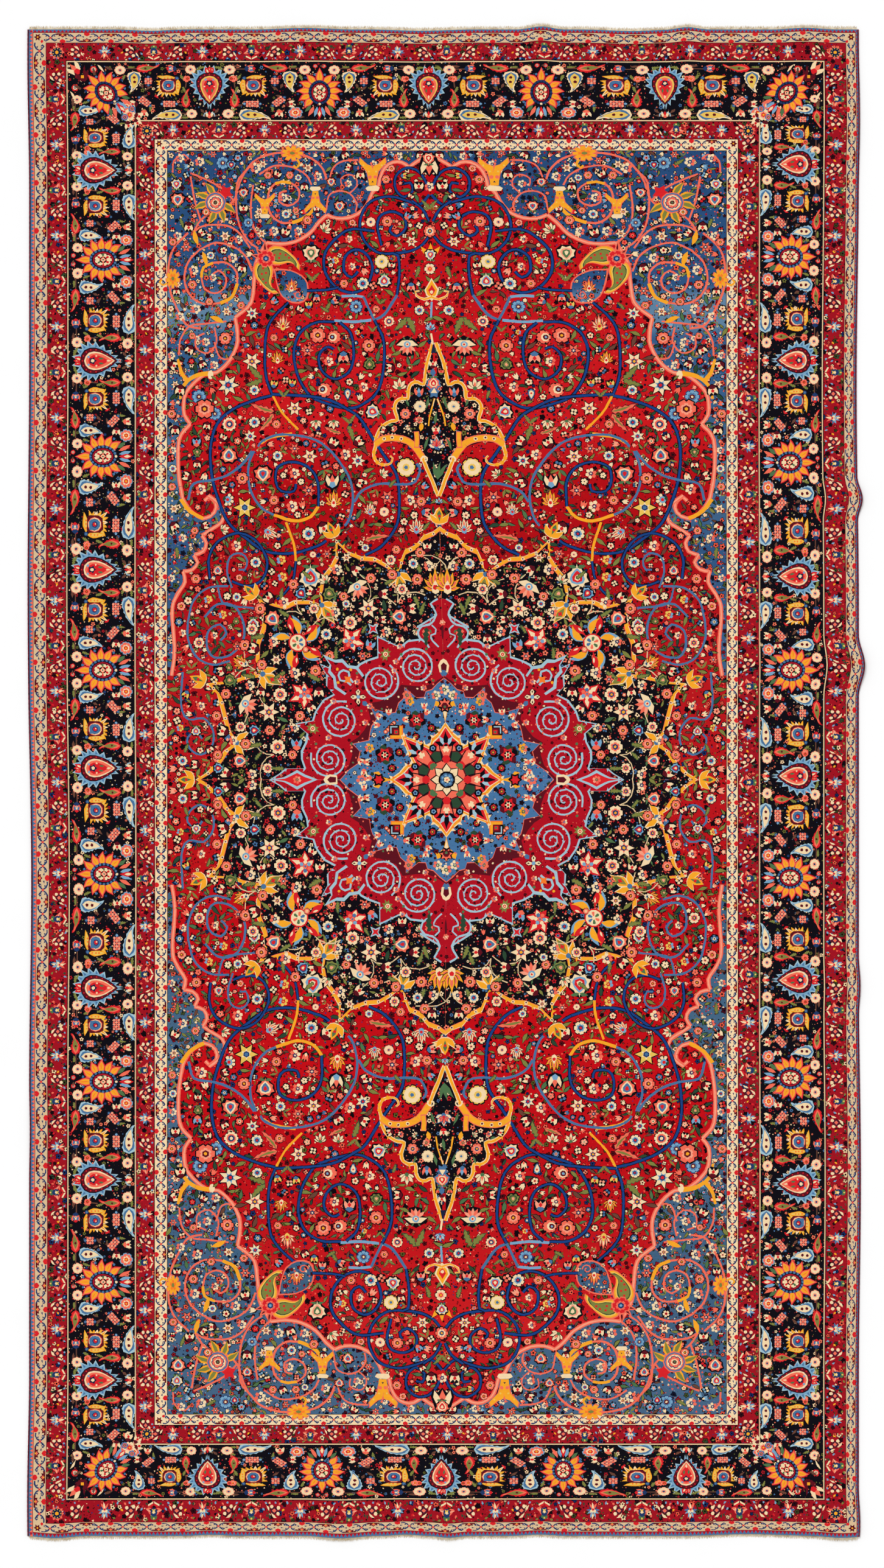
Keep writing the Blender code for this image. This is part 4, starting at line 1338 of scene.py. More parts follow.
def pendantMiddle(spot):
    lay(spot, "night", [712 + 560j, 708 + 580j, 716 + 580j])
    bud(spot.spot(711 + 600j, -90), 6, "cream", "maroon", None)
    palmette(spot.spot(712 + 628j, 90), 9, "coral", "cream", "scarlet", "cream", "blue")
    lay(spot.spot(711 + 614j, -90), "blue", spindle(13, (9, 7), base=-4))
    lay(spot.spot(713 + 645j, -90), "blue", lobed(5, 6, 10, True))
    lay(spot.spot(713 + 643j, -90), "cream", lobed(3, 3, 6, True))
    leaf(spot.spot(715 + 698j, -92), "green", 22, 6)
    lotus(spot.spot(717 + 735j, -90), 14, "cream", "scarlet", "blue", "blue")
    lotus(spot.spot(717 + 732j, -90), 9, "coral", "scarlet", "navy", "scarlet")
    bud(spot.spot(716 + 708j, -90), 6, "cream", "scarlet", None)
    for angle in (-90, -68, -112):
        leaf(spot.spot(719 + 788j, angle), "green", 30, 7)
    lay(spot.spot(718 + 752j), "black", corners(-8, -3, 8, 6))
    lotus(spot.spot(721 + 826j, -90), 7, "pale", "scarlet", "black", "blue")
    finial(spot.spot(722 + 851j))
    tulip(spot.spot(705 + 270j, 90), 12, "cream", "coral", "sky")
    palmette(spot.spot(704 + 262j, -90), 9, "coral", "cream", "scarlet")
    cluster(spot.spot(705 + 307j), 8, "cream", "coral", "navy")
    leafPair(spot.spot(705 + 344j, -90), 20)
    rosette(spot.spot(706 + 380j), 10, "coral", "cream", "navy", 8)
    for angle in (-90, -50, -130):
        lay(spot.spot(707 + 424j, angle), "gold", spindle(22, (6, 8, 4), base=3))
    palmette(spot.spot(707 + 420j, -90), 8, "cream", "sky", "scarlet")
    rosette(spot.spot(706 + 442j), 9, "cream", "pink", "scarlet", 6)
    layers(spot.spot(709 + 479j, -90), cream=spindle(38, (18, 24, 12), base=-16),
           gold=spindle(32, (14, 19, 9), base=-13), scarlet=spindle(18, (8, 11, 5), base=-7))
    lay(spot.spot(709 + 480j), "cream", disc(3, 6))
    for flip in (False, True):
        side = spot.spot(709 + 488j, 90, flip=flip)
        edged(side, [0, 4 + 12j, -2 + 25j, -9 + 27j, -10 + 20j], 3, 5, ends=(3, 1.6))
    stroke(spot, "sky", (709 + 496j, 708 + 522j), 3.4, gap=9)
    lotus(spot.spot(707 + 541j, -90), 9, "pale", "scarlet", "navy", "blue")
    stroke(spot, "cream", (708 + 548j, 711 + 566j), 3.2, gap=9)


def finial(spot):
    for flip in (False, True):
        s = spot.spot(0, flip=flip).spot(0, 90)
        layers(s, cream=path((-15, 0), (-9, 5), (-3, 9), (2, 22), (6, 9), (14, 6), (18, 0)),
               gold=path((-13, 0), (-8, 4), (-2, 7), (2, 18), (5, 8), (12, 5), (16, 0)))
    lay(spot.spot(0), "coral", [-9 + 8j, -3 + 14j, 3 + 14j, 9 + 8j, 0 + 3j])
    layers(spot, cream=[-10j, 6, 8j, -6], olive=[-7j, 4, 6j, -4], scarlet=[-3j, 2, 3j, -2])
    lay(spot.spot(14j), "navy", disc(4, 6))


# The medallion's outlines, a quarter of each: an angle from the top, in degrees, and a distance.
medallionAt = 734 + 1281j
goldOutline = ((0, 412), (1.5, 404), (4, 398), (6, 384), (9, 378), (10.5, 362), (12, 340), (14.5, 362),
               (17, 378), (20, 386), (22.5, 402), (24, 428), (25.5, 404), (28, 392), (31, 384), (33.5, 366),
               (35, 347), (37, 364), (40, 380), (43, 386), (44.5, 402), (46, 424), (47.5, 400), (50, 388),
               (54, 380), (58, 364), (60, 343), (62, 360), (64, 376), (66.5, 398), (68, 419), (69.5, 398),
               (73, 382), (77.5, 366), (80, 346), (82.5, 364), (86, 376), (88.5, 392), (90, 408))
roseOutline = ((0, 292), (2.5, 286), (1.6, 276), (3, 266), (6, 259), (9.6, 252), (9.4, 240), (7.5, 231),
               (14.4, 233), (18.2, 227), (24.8, 257), (28.4, 227), (33, 231), (36.6, 233), (40.5, 229),
               (43.0, 247), (45.5, 256), (47.2, 277), (48.6, 257), (51.8, 246), (52.6, 228), (57, 237),
               (62.4, 239), (66.1, 237), (69.6, 261), (71.6, 238), (74.9, 236), (78.9, 240), (82, 238),
               (85.5, 231), (86, 262), (88, 272), (90, 288))
maroonOutline = ((0, 170), (6, 160), (12.7, 157), (18, 162), (24.6, 172), (31, 161), (40, 168), (46, 180),
                 (51, 158), (58.8, 157), (64, 160), (69, 170), (75, 160), (81.7, 162), (86, 170), (90, 182))
blueOutline = ((0, 166), (4, 158), (8, 149), (12, 148), (14, 139), (19, 142), (23.6, 165), (26, 150),
               (31, 147), (36.5, 137), (40, 142), (46, 169), (49, 150), (54, 150), (57.6, 147), (63, 142),
               (69, 164), (72, 148), (76, 148), (79, 146), (84, 160), (90, 175))
starOutline = ((0, 88), (9, 72), (19, 66), (26, 55), (33, 66), (40, 82), (45, 97), (50, 82), (57, 66),
               (64, 55), (72, 66), (81, 72), (90, 88))


def polar(angle, radius):
    turn = math.radians(angle)
    return medallionAt - radius * complex(math.sin(turn), math.cos(turn))


def ringOf(outline, more=0.0, grow=1.0):
    return [polar(angle, radius * grow + more) for angle, radius in outline]


# Small barbs along an outline, leaning forward on one side and back on the other.
def barbs(spot, yarn, outline, length, more=0.0):
    for first, second in zip(outline, outline[1:]):
        start, stop = polar(first[0], first[1] + more), polar(second[0], second[1] + more)
        count = max(1, round(abs(stop - start) / 9))
        for i in range(count):
            lay(spot.spot(start + (stop - start) * (i + 0.5) / count,
                          math.degrees(cmath.phase(stop - start))), yarn,
                [-3.0, 3.0, 2.0 + (length if i % 2 else -length) * 1j])


def centreRing(spot, yarn, outline, more=0.0, grow=1.0):
    lay(spot, yarn, [medallionAt] + ringOf(outline, more, grow))


spirals = ((688, 1095, 31, 200, 1), (628, 1120, 32, 300, 1), (561, 1183, 32, 290, -1),
           (541, 1247, 31, 200, -1))
lenses = ((638, 1075, -65), (515, 1197, 205))
medallionBlooms = [Bloom(*row) for row in (
    ("flame", 724, 965, 24, -90), ("lily", 593, 964, 16, 60), ("star", 611, 1000, 18),
    ("redPalmette", 660, 1013, 16), ("lily", 404, 1156, 16, 30), ("star", 443, 1170, 18),
    ("cream", 580, 1023, 12), ("cream", 462, 1141, 12), ("cream", 457, 1227, 13),
    ("skyBud", 612, 1061, 8, -70), ("cluster", 640, 1038, 9), ("bud", 662, 1048, 7, 90),
    ("lotus", 690, 1035, 8, 90), ("cluster", 556, 1006, 9), ("skyish", 540, 1042, 10),
    ("coral", 545, 1078, 9), ("leaf", 556, 1082, 20, -100), ("redStar", 600, 1078, 9),
    ("coral", 521, 1102, 10, -90), ("leaf", 528, 1118, 26, 200), ("bud", 526, 1136, 8, 90),
    ("cluster", 487, 1106, 10), ("coral", 494, 1176, 9), ("bud", 512, 1162, 7, 60),
    ("cluster", 485, 1196, 8), ("leaf", 494, 1212, 14, -60), ("skyBud", 488, 1224, 9, -90),
    ("coral", 481, 1240, 8), ("greenPalm", 548, 976, 14, 200), ("lotus", 541, 956, 12, -120),
    ("cluster", 560, 936, 10), ("star", 576, 916, 9), ("bud", 590, 936, 8, 40), ("coral", 616, 950, 9),
    ("bud", 636, 976, 8), ("leaf", 640, 960, 20, -40), ("coral", 652, 944, 9), ("cream", 668, 968, 10),
    ("leaf", 688, 980, 24, 60), ("leaf", 698, 1010, 24, -80), ("bud", 682, 1000, 8),
    ("coral", 694, 952, 10), ("leaf", 700, 940, 22, -120), ("coral", 700, 908, 9),
    ("bud", 712, 900, 7, -90), ("skyish", 688, 926, 9), ("leaf", 724, 1000, 16, -90),
    ("cluster", 714, 930, 9), ("flame", 398, 1090, 13, 215), ("greenPalm", 380, 1118, 12, 200),
    ("bud", 366, 1102, 7, 160), ("coral", 372, 1140, 9), ("leaf", 420, 1112, 22, 180),
    ("coral", 432, 1092, 9), ("cluster", 412, 1126, 9), ("bud", 430, 1136, 7, 100), ("coral", 444, 1200, 9),
    ("bluePalm", 420, 1200, 11, 180), ("cream", 396, 1194, 9), ("leaf", 430, 1222, 22, 160),
    ("coral", 404, 1222, 9), ("cluster", 384, 1216, 8), ("bud", 368, 1202, 8, 200),
    ("redPalmette", 396, 1250, 14, 180), ("leaf", 420, 1248, 18, -60), ("cream", 440, 1262, 9),
    ("coral", 358, 1240, 8), ("bud", 372, 1270, 8, 200), ("cluster", 414, 1272, 9),
    ("leaf", 466, 1262, 22, 170), ("bluePalm", 360, 1262, 10, 180), ("redPalmette", 452, 1018, 16, 225),
    ("coral", 430, 1000, 10), ("cluster", 470, 990, 10), ("bud", 446, 984, 8, 220),
    ("leaf", 478, 1012, 22, 200), ("leaf", 436, 1044, 24, 160), ("cream", 416, 1034, 10),
    ("coral", 404, 1060, 10), ("bud", 420, 1066, 8, 200), ("cluster", 452, 1054, 9),
    ("star", 456, 1084, 10), ("leaf", 470, 1104, 22, 140), ("bluePalm", 500, 976, 12, 230),
    ("coral", 486, 960, 9), ("cream", 520, 1000, 9), ("leaf", 516, 950, 20, 210), ("bud", 516, 972, 7, 200),
    ("coral", 570, 980, 8), ("skyish", 574, 992, 7), ("cream", 650, 920, 9), ("redStar", 466, 1116, 9),
    ("bud", 634, 1018, 6), ("leaf", 600, 1040, 16, -70), ("leaf", 566, 1050, 14, 120),
)]


def spiral(spot, x, y, radius, start, way):
    s = spot.spot(complex(x, y))
    points = curl(radius, 2.5, start, 2.9 * way, 11)
    stroke(s, "pale", points, 3.3, 2.2, gap=8, chunk=3)
    for i in range(2, len(points) - 4, 2):
        run = points[i + 1] - points[i]
        lay(s.spot(points[i], math.degrees(cmath.phase(run)) + (50 if i % 4 else -50)), "pale",
            [-1.5j, 5.0, 1.5j])
    for i, angle in enumerate(around(9, start)):
        reach = radius * (0.80, 0.52)[i % 2]
        lay(s.spot(cmath.rect(reach, angle)), ("coral", "maroon", "cream", "maroon")[i % 4], disc(1.9, 5))


def leafLens(spot, x, y, turn):
    s = spot.spot(complex(x, y), turn)
    layers(s, olive=lobed(8, 7, 12, True, 0.75), cream=disc(4.4, 7), scarlet=disc(2.8, 6))
    lay(s, "cream", disc(1.2, 5))


def whorl(spot):
    s = spot.spot(492 + 1056j)
    for i, angle in enumerate((-150, -115, -80, -48, -14, 22, 58, 94, 128)):
        arm = s.spot(0, angle)
        if i % 2:
            layers(arm, scarlet=spindle(34, (4, 12, 9), 0.5, base=14), cream=spindle(10, (3, 3), base=24))
        else:
            layers(arm, sky=spindle(37, (7, 12, 12, 9, 5), -1.0, base=12),
                   gold=spindle(35, (4, 10, 11, 7, 3), -1.3, base=12))
    layers(s, scarlet=disc(15.5, 12), cream=disc(13.2, 12))
    for angle in around(6, 0.4):
        lay(s, ("blue", "coral", "green")[round(angle) % 3], petal(angle, 3, 10.5, 5))
    lay(s, "cream", disc(3, 6))
    rosette(s.spot(13 + 11j), 5, "coral", "pink", "cream", 6)


def tulipBurst(spot, at, turn):
    s = spot.spot(at, turn)
    for angle, length in ((-62, 26), (0, 30), (62, 26), (118, 18), (-118, 18)):
        layers(s.spot(0, angle), scarlet=spindle(length, (11, 14, 7), 0.2, base=0),
               cream=spindle(length * 0.74, (5, 8, 4), 0.2, base=3))
    for angle in (-30, 30, 180):
        lay(s.spot(0, angle), "scarlet", spindle(18, (7, 8)))
    for i, angle in enumerate(around(6)):
        lay(s.spot(cmath.rect(7, angle)), ("sky", "cream", "blue", "coral")[i % 4], disc(3.4, 6))
    layers(s, coral=disc(4, 6), blue=disc(2, 5))


def medallionQuarter(spot):
    centreRing(spot, "cream", goldOutline, 4.6)
    centreRing(spot, "gold", goldOutline, 3.6)
    barbs(spot, "gold", goldOutline, 7.5)
    centreRing(spot, "coral", goldOutline, -2.8)
    centreRing(spot, "jet", goldOutline, -3.8)
    scatter(spot, "medallion")
    edge = smooth(ringOf(goldOutline), 13)
    for i in range(1, len(edge) - 1, 2):
        s = spot.spot(edge[i])
        layers(s, cream=disc(2.9, 6), maroon=disc(1.5, 5))
    for angle, radius in ((12, 345), (35, 350), (60, 347), (80, 350)):
        s = spot.spot(polar(angle, radius), 90 - angle)
        for turn in (-62, 62):
            layers(s.spot(-2, turn), cream=spindle(30, (9, 13, 7), 0.5 if turn < 0 else -0.5, base=-2),
                   gold=spindle(27, (7, 10, 5), 0.5 if turn < 0 else -0.5, base=0))
        layers(s, cream=spindle(40, (10, 19, 15, 6), base=-2), gold=spindle(37, (8, 16, 12, 4), base=0),
               olive=spindle(26, (6, 10, 7), base=6))
        lay(s.spot(18), "scarlet", lobed(4, 2.5, 5, True))
        lay(s, "blue", disc(4.5, 7))
    for angle, radius in ((0, 420), (24, 436), (46, 432), (68, 427), (90, 415)):
        s = spot.spot(polar(angle, radius), 270 - angle)
        for turn in (-58, 58):
            layers(s.spot(0, turn), cream=spindle(26, (8, 11, 6), 0.5 if turn < 0 else -0.5, base=-2),
                   gold=spindle(23, (6, 9, 5), 0.5 if turn < 0 else -0.5))
        layers(s, gold=spindle(28, (8, 13, 8)), green=spindle(19, (4, 7), base=4))
        lay(s.spot(13), "scarlet", disc(2.6, 5))
    for x, y, turns in ((724, 940, -90), (610, 990, -50), (442, 1160, 200), (560, 1020, 220),
                        (420, 1100, 200), (450, 1240, 170), (660, 990, -70), (500, 1010, 220)):
        for bend in (0.8, -0.8):
            points = [complex(x, y) + p
                      for p in ([0] + [cmath.rect(12 * k, math.radians(turns) + bend * k * 0.3)
                                       for k in range(1, 5)])]
            stroke(spot, "tan", points, 1.6, gap=10)
    whorl(spot)
    tulipBurst(spot, 580 + 1054j, -55)
    tulipBurst(spot, 502 + 1140j, 150)
    plant(spot, medallionBlooms, 0.95)
    rose(spot)


roseSpire = path((727, 984), (715, 992), (720, 1000), (724, 1010), (720, 1019), (712, 1026), (700, 1029),
                 (693, 1038), (696, 1049), (706, 1056), (711, 1064))


def rose(spot):
    centreRing(spot, "pale", roseOutline, 3.6)
    centreRing(spot, "rose", roseOutline, 0.4)
    thornRing = smooth(ringOf(roseOutline, 3), 9)
    for i in range(2, len(thornRing) - 1, 3):
        run = thornRing[i + 1] - thornRing[i]
        lay(spot.spot(thornRing[i], math.degrees(cmath.phase(run)) - 60), "pale", [-2j, 6, 2j])
    centreRing(spot, "maroon", maroonOutline)
    for i in range(14):
        angle = 4 + 6.3 * i
        lay(spot.spot(polar(angle, 156 + 7 * (i % 2))), "cream" if i % 3 else "green", disc(1.9, 5))
        lay(spot.spot(polar(angle + 3, 153 + 14 * ((i + 1) % 2))), "coral", disc(1.6, 4))
    star = spot.spot(618 + 1033j)
    layers(star, pale=lobed(4, 5, 12, True, start=math.pi / 4),
           scarlet=lobed(4, 3, 8, True, start=math.pi / 4))
    lay(spot, "rose", roseSpire + [734 + 1066j, 734 + 984j])
    stroke(spot, "pale", roseSpire, 3.2, gap=7)
    stroke(spot, "pale", (716 + 1027j, 723 + 1034j, 722 + 1041j, 714 + 1044j, 717 + 1053j, 727 + 1063j),
           2.6, gap=6)
    layers(spot.spot(706 + 1040j), coral=lobed(5, 4, 7), cream=disc(2, 5))
    lay(spot.spot(712 + 1034j, 60), "green", spindle(8, (3, 2)))
    arabesque(spot.spot(566 + 1108j))
    for x, y, radius, start, way in spirals:
        spiral(spot, x, y, radius, start, way)
    for lens in lenses:
        leafLens(spot, *lens)
    s = spot.spot(591 + 1145j, 45)
    for angle in (45, 135, 225, 315):
        layers(s.spot(0, angle), black=spindle(14, (7, 9)), cream=spindle(13, (4.5, 7)))
        lay(s.spot(0, angle), "black", spindle(5, (2.5,), base=6))
    lay(s, "sky", disc(3.5, 6))
    lay(s.spot(10), "blue", spindle(12, (8, 6)))
    for at in (655 + 1087j, 652 + 1102j, 541 + 1212j, 610 + 1160j, 602 + 1187j, 662 + 1062j, 700 + 1130j,
               572 + 1270j, 550 + 1152j, 590 + 1120j):
        cluster(spot.spot(at), 5.5, "coral", "cream", "blue")
    for at in (664 + 1075j, 590 + 1106j, 596 + 1168j, 520 + 1222j, 579 + 1222j, 706 + 1066j, 716 + 1118j):
        lay(spot.spot(at), "green", disc(2.6, 5))
        lay(spot.spot(at + 6j), "coral", disc(2.0, 5))
    centreRing(spot, "coral", blueOutline, 1.2)
    centreRing(spot, "lake", blueOutline)
    heart(spot)


def arabesque(spot):
    s = spot.spot(0, 225)
    layers(s, pale=path((-26, -22), (-6, -26), (6, -16), (20, -15), (26, -4), (46, 0), (26, 8), (18, 18),
                        (4, 18), (-8, 27), (-26, 24)), rose=path((-26, -18), (-8, -21), (6, -11), (18, -10),
                                                                 (24, -3), (36, 0), (22, 5), (14, 13),
                                                                 (2, 13), (-10, 22), (-26, 20)))
    for flip in (False, True):
        t = s.spot(0, flip=flip)
        stroke(t, "pale", (-22 + 3j, -12 + 4j, -4 + 10j, 4 + 6j, 6 + 0j), 3.4, gap=6)
        lay(t.spot(-4 + 15j), "gold", disc(2.6, 5))
    lay(s.spot(-12), "orange", lobed(4, 4, 8, True))
    lay(s.spot(12), "gold", disc(2.6, 5))


def darkFlower(spot, size):
    for i, angle in enumerate(around(6, 0.3)):
        lay(spot.spot(cmath.rect(size * 0.62, angle)), ("black", "forest", "maroon")[i % 3],
            disc(size * 0.44, 6))
    layers(spot, scarlet=lobed(6, size * 0.5, size * 0.76, True), black=disc(size * 0.42, 6),
           cream=lobed(6, size * 0.18, size * 0.4, True))
    lay(spot, "scarlet", disc(size * 0.15, 5))


def heart(spot):
    darkFlower(spot.spot(687 + 1183j), 15)
    darkFlower(spot.spot(633 + 1240j), 16)
    for at, size in ((711 + 1196j, 8), (685 + 1210j, 7), (657 + 1236j, 8), (644 + 1262j, 8)):
        rosette(spot.spot(at), size, "black", "scarlet", "forest", 5, None)
    crest = spot.spot(650 + 1200j, 45)
    for k in (-2, -1, 0, 1, 2):
        knot = crest.spot(-9 + (2 + 5 * k) * 1j)
        layers(knot, black=disc(4.2, 6), coral=disc(3.2, 6), cream=disc(1.3, 5))
    square = spot.spot(650 + 1200j)
    layers(square, orange=corners(-8, -8, 14, 14), gold=corners(-6, -6, 12, 12),
           black=corners(-9, -9, 8, 8), pale=corners(-7, -7, 5, -5))
    layers(square, pale=corners(-7, -5, -5, 5), maroon=corners(-4, -4, 8, 8), scarlet=corners(-1, -1, 6, 6),
           green=corners(1, 1, 4.5, 4.5))
    for at, yarn in ((676 + 1152j, "gold"), (608 + 1229j, "gold"), (720 + 1142j, "cream"),
                     (672 + 1142j, "coral")):
        cluster(spot.spot(at), 8, yarn, "coral", "green")
    for at, turn in ((624 + 1176j, 45), (641 + 1170j, -90), (621 + 1191j, 180), (704 + 1170j, -60),
                     (598 + 1268j, 90), (592 + 1250j, 45), (700 + 1160j, -90), (668 + 1182j, 0),
                     (602 + 1252j, 0), (606 + 1284j, 180)):
        bud(spot.spot(at, turn), 5, "cream", "coral", None)
    for at in (692 + 1186j, 610 + 1210j, 618 + 1252j, 664 + 1160j, 700 + 1210j, 662 + 1222j, 672 + 1214j):
        lay(spot.spot(at), "maroon", disc(1.8, 5))
    centreRing(spot, "cream", starOutline, 7)
    barbs(spot, "cream", starOutline, 6, 6)
    centreRing(spot, "gold", starOutline, 5)
    barbs(spot, "orange", starOutline, 4.5, 2)
    centreRing(spot, "cream", starOutline)
    centreRing(spot, "scarlet", starOutline, -2)
    centreRing(spot, "coral", starOutline, -1, 0.84)
    for angle, radius, turn in ((45, 63, 225), (0, 56, 270), (90, 56, 180)):
        s = spot.spot(polar(angle, radius), turn)
        for side, yarn in ((-70, "black"), (70, "black"), (-35, "pale"), (35, "pale"), (0, "black")):
            lay(s.spot(0, side), yarn, spindle(20 if side else 25, (7, 8, 3)))
        layers(s, scarlet=disc(5, 6), black=disc(3, 6))
        lay(s.spot(-6), "cream", lobed(3, 3, 6))
    for angle in (22.5, 67.5):
        s = spot.spot(polar(angle, 42), 270 - angle)
        layers(s, maroon=path((-11, -10), (4, -11), (10, 0), (4, 11), (-11, 10)),
               forest=path((-9, -8), (3, -9), (8, 0), (3, 9), (-9, 8)))
        layers(s.spot(14), black=disc(7, 6), sky=disc(4, 5), navy=disc(2.4, 5))
    for angle in (11.2, 33.8, 56.2, 78.8):
        lay(spot.spot(polar(angle, 44), 90 - angle), "black",
            [-14 - 0.9j, 14 - 0.9j, 14 + 0.9j, -14 + 0.9j])
    for angle in (0, 45, 90):
        lay(spot.spot(polar(angle, 34), 270 - angle), "scarlet", disc(7, 6))
    lay(spot.spot(polar(45, 30)), "green", disc(7, 6))


def centreFlower(spot):
    centre = spot.spot(medallionAt)
    lay(centre, "coral", disc(28, 16))
    for angle in around(8):
        layers(centre, black=petal(angle, 4, 28, 15, 0.6), cream=petal(angle, 4, 26, 12.5, 0.6),
               tan=petal(angle, 8, 19, 2.2, 0.6))
    lay(centre, "black", disc(14, 12))
    for angle in around(7):
        layers(centre, blue=petal(angle, 3, 11.5, 8), sky=petal(angle, 4, 9, 3))
    layers(centre, night=disc(6, 8), cream=lobed(5, 3.4, 5.4), coral=disc(2, 5))
    for turn in (0, 180):
        s = centre.spot(0, turn)
        crest = s.spot(-118j, -90)
        lay(crest, "gold", path((-24, 0), (-6, 4), (4, 15), (2, 18), (12, 15), (9, 8), (2, 0), (9, -8),
                                (12, -15), (2, -18), (4, -15), (-6, -4)))
        lay(crest.spot(-6), "cream", path((-14, 0), (0, 3), (8, 0), (0, -3)))
        lay(crest.spot(4), "black", lobed(7, 9, 13, True))
        lay(crest.spot(5), "coral", lobed(7, 6, 11, True))
        lay(crest.spot(3), "maroon", disc(6, 7))
        lay(crest.spot(2), "green", disc(2.6, 5))
        cluster(s.spot(-148j), 9, "cream", "coral", "green")
        shield = s.spot(-184j, -90)
        layers(shield, cream=path((-8, -7), (4, -9), (12, -5), (15, 0), (12, 5), (4, 9), (-8, 7)),
               maroon=path((-6, -4), (4, -5), (9, 0), (4, 5), (-6, 4)))
        lay(shield.spot(-9), "blue", lobed(3, 3.5, 6))
        spire = s.spot(-232j, -90)
        lay(spire, "maroon", spindle(30, (3, 4, 3), base=-4))
        cluster(spire.spot(26), 5, "pink", "coral", "cream")
        for flip in (False, True):
            leaf(centre.spot(0, turn, flip=flip).spot(26 - 250j, 75), "forest", 34, 10, 0.5, True)
    for turn in (90, 270):
        s = centre.spot(0, turn)
        lay(s.spot(-108j, -90), "gold", path((-20, 0), (-4, 4), (4, 14), (12, 12), (6, 0), (12, -12),
                                             (4, -14), (-4, -4)))
        layers(s.spot(-112j, -90), black=lobed(6, 8, 12, True), scarlet=lobed(6, 5, 8, True))
        cluster(s.spot(-140j), 9, "coral", "cream", "blue")
        shield = s.spot(-188j, -90)
        layers(shield, cream=path((-8, -7), (4, -9), (12, -5), (15, 0), (12, 5), (4, 9), (-8, 7)),
               maroon=path((-6, -4), (4, -5), (9, 0), (4, 5), (-6, 4)))
        spire = s.spot(-246j, -90)
        layers(spire, pale=path((-34, 0), (-14, 8), (0, 16), (14, 8), (22, 4), (44, 0), (22, -4), (14, -8),
                                (0, -16), (-14, -8)), scarlet=path((-26, 0), (-12, 5), (0, 11), (12, 5),
                                                                   (20, 2), (36, 0), (20, -2), (12, -5),
                                                                   (0, -11), (-12, -5)))
        cluster(spire, 7, "coral", "pink", "green")


# The medallion is drawn about a straight axis, then leans with the field's own.
def straight(mirrored, lower):
    def through(z):
        x, y = z.real, z.imag
        if lower:
            y = fieldBottom - (y - fieldTop) * (fieldBottom - fieldMiddle) / (fieldMiddle - fieldTop)
        if mirrored:
            x = 2 * axisMiddle - x
        lean = max(0.0, 1 - abs(x - axisMiddle) / 460)
        return complex(x + (axisAt(y) - axisMiddle) * lean, y)
    return Spot(through=through)


# Which ground of the quarter a place is on.
def groundAt(z):
    if inside(spandrelGround, z):
        return "spandrel"
    at = z - medallionAt
    angle = math.degrees(math.atan2(-at.real, -at.imag)) if at else 0.0
    radius = abs(at)
    if radius < 246:
        return "rose"
    edge = next((a[1] + (b[1] - a[1]) * (angle - a[0]) / (b[0] - a[0] or 1)
                 for a, b in zip(goldOutline, goldOutline[1:]) if a[0] <= angle <= b[0]), 400)
    if radius < edge + 6:
        return "medallion" if radius < edge - 10 else "edge"
    if inside(pendantEdge + [722 + 815j, 720 + 560j], z):
        return "pendant"
    return "field"


def field():
    reserve()
    ways = [(mirrored, lower) for lower in (False, True) for mirrored in (False, True)]
    quarters = [quarter(*way) for way in ways]
    for s in quarters:
        spandrel(s)
    for s in quarters:
        scatter(s, "field")
        drawVines(s, fieldVines)
    for s in quarters:
        plant(s, fieldBlooms, 0.9)
    for s in quarters:
        pendant(s)
    for s in quarters[::2]:
        pendantMiddle(s)
    for way in ways:
        medallionQuarter(straight(*way))
    centreFlower(straight(False, False))


def drawAll():
    cartoon.clear()
    borders()
    field()
    return cartoon


# Metres, apart from the drawing's own squares, which are the photograph's pixels.
rug = {
    "knot": 0.0027,                    # one square of the drawing
    "middle": (729.25, 1285.75),       # the drawing's middle, in squares
    "outlineMiddle": (0.0084, 0.0012),
    "width": 3.664,
    "length": 6.680,
    "thickness": 0.009,
    "seam": 0.0003,                    # between the pile and what is sewn to its edges
}
photoSize = (1452, 2576)

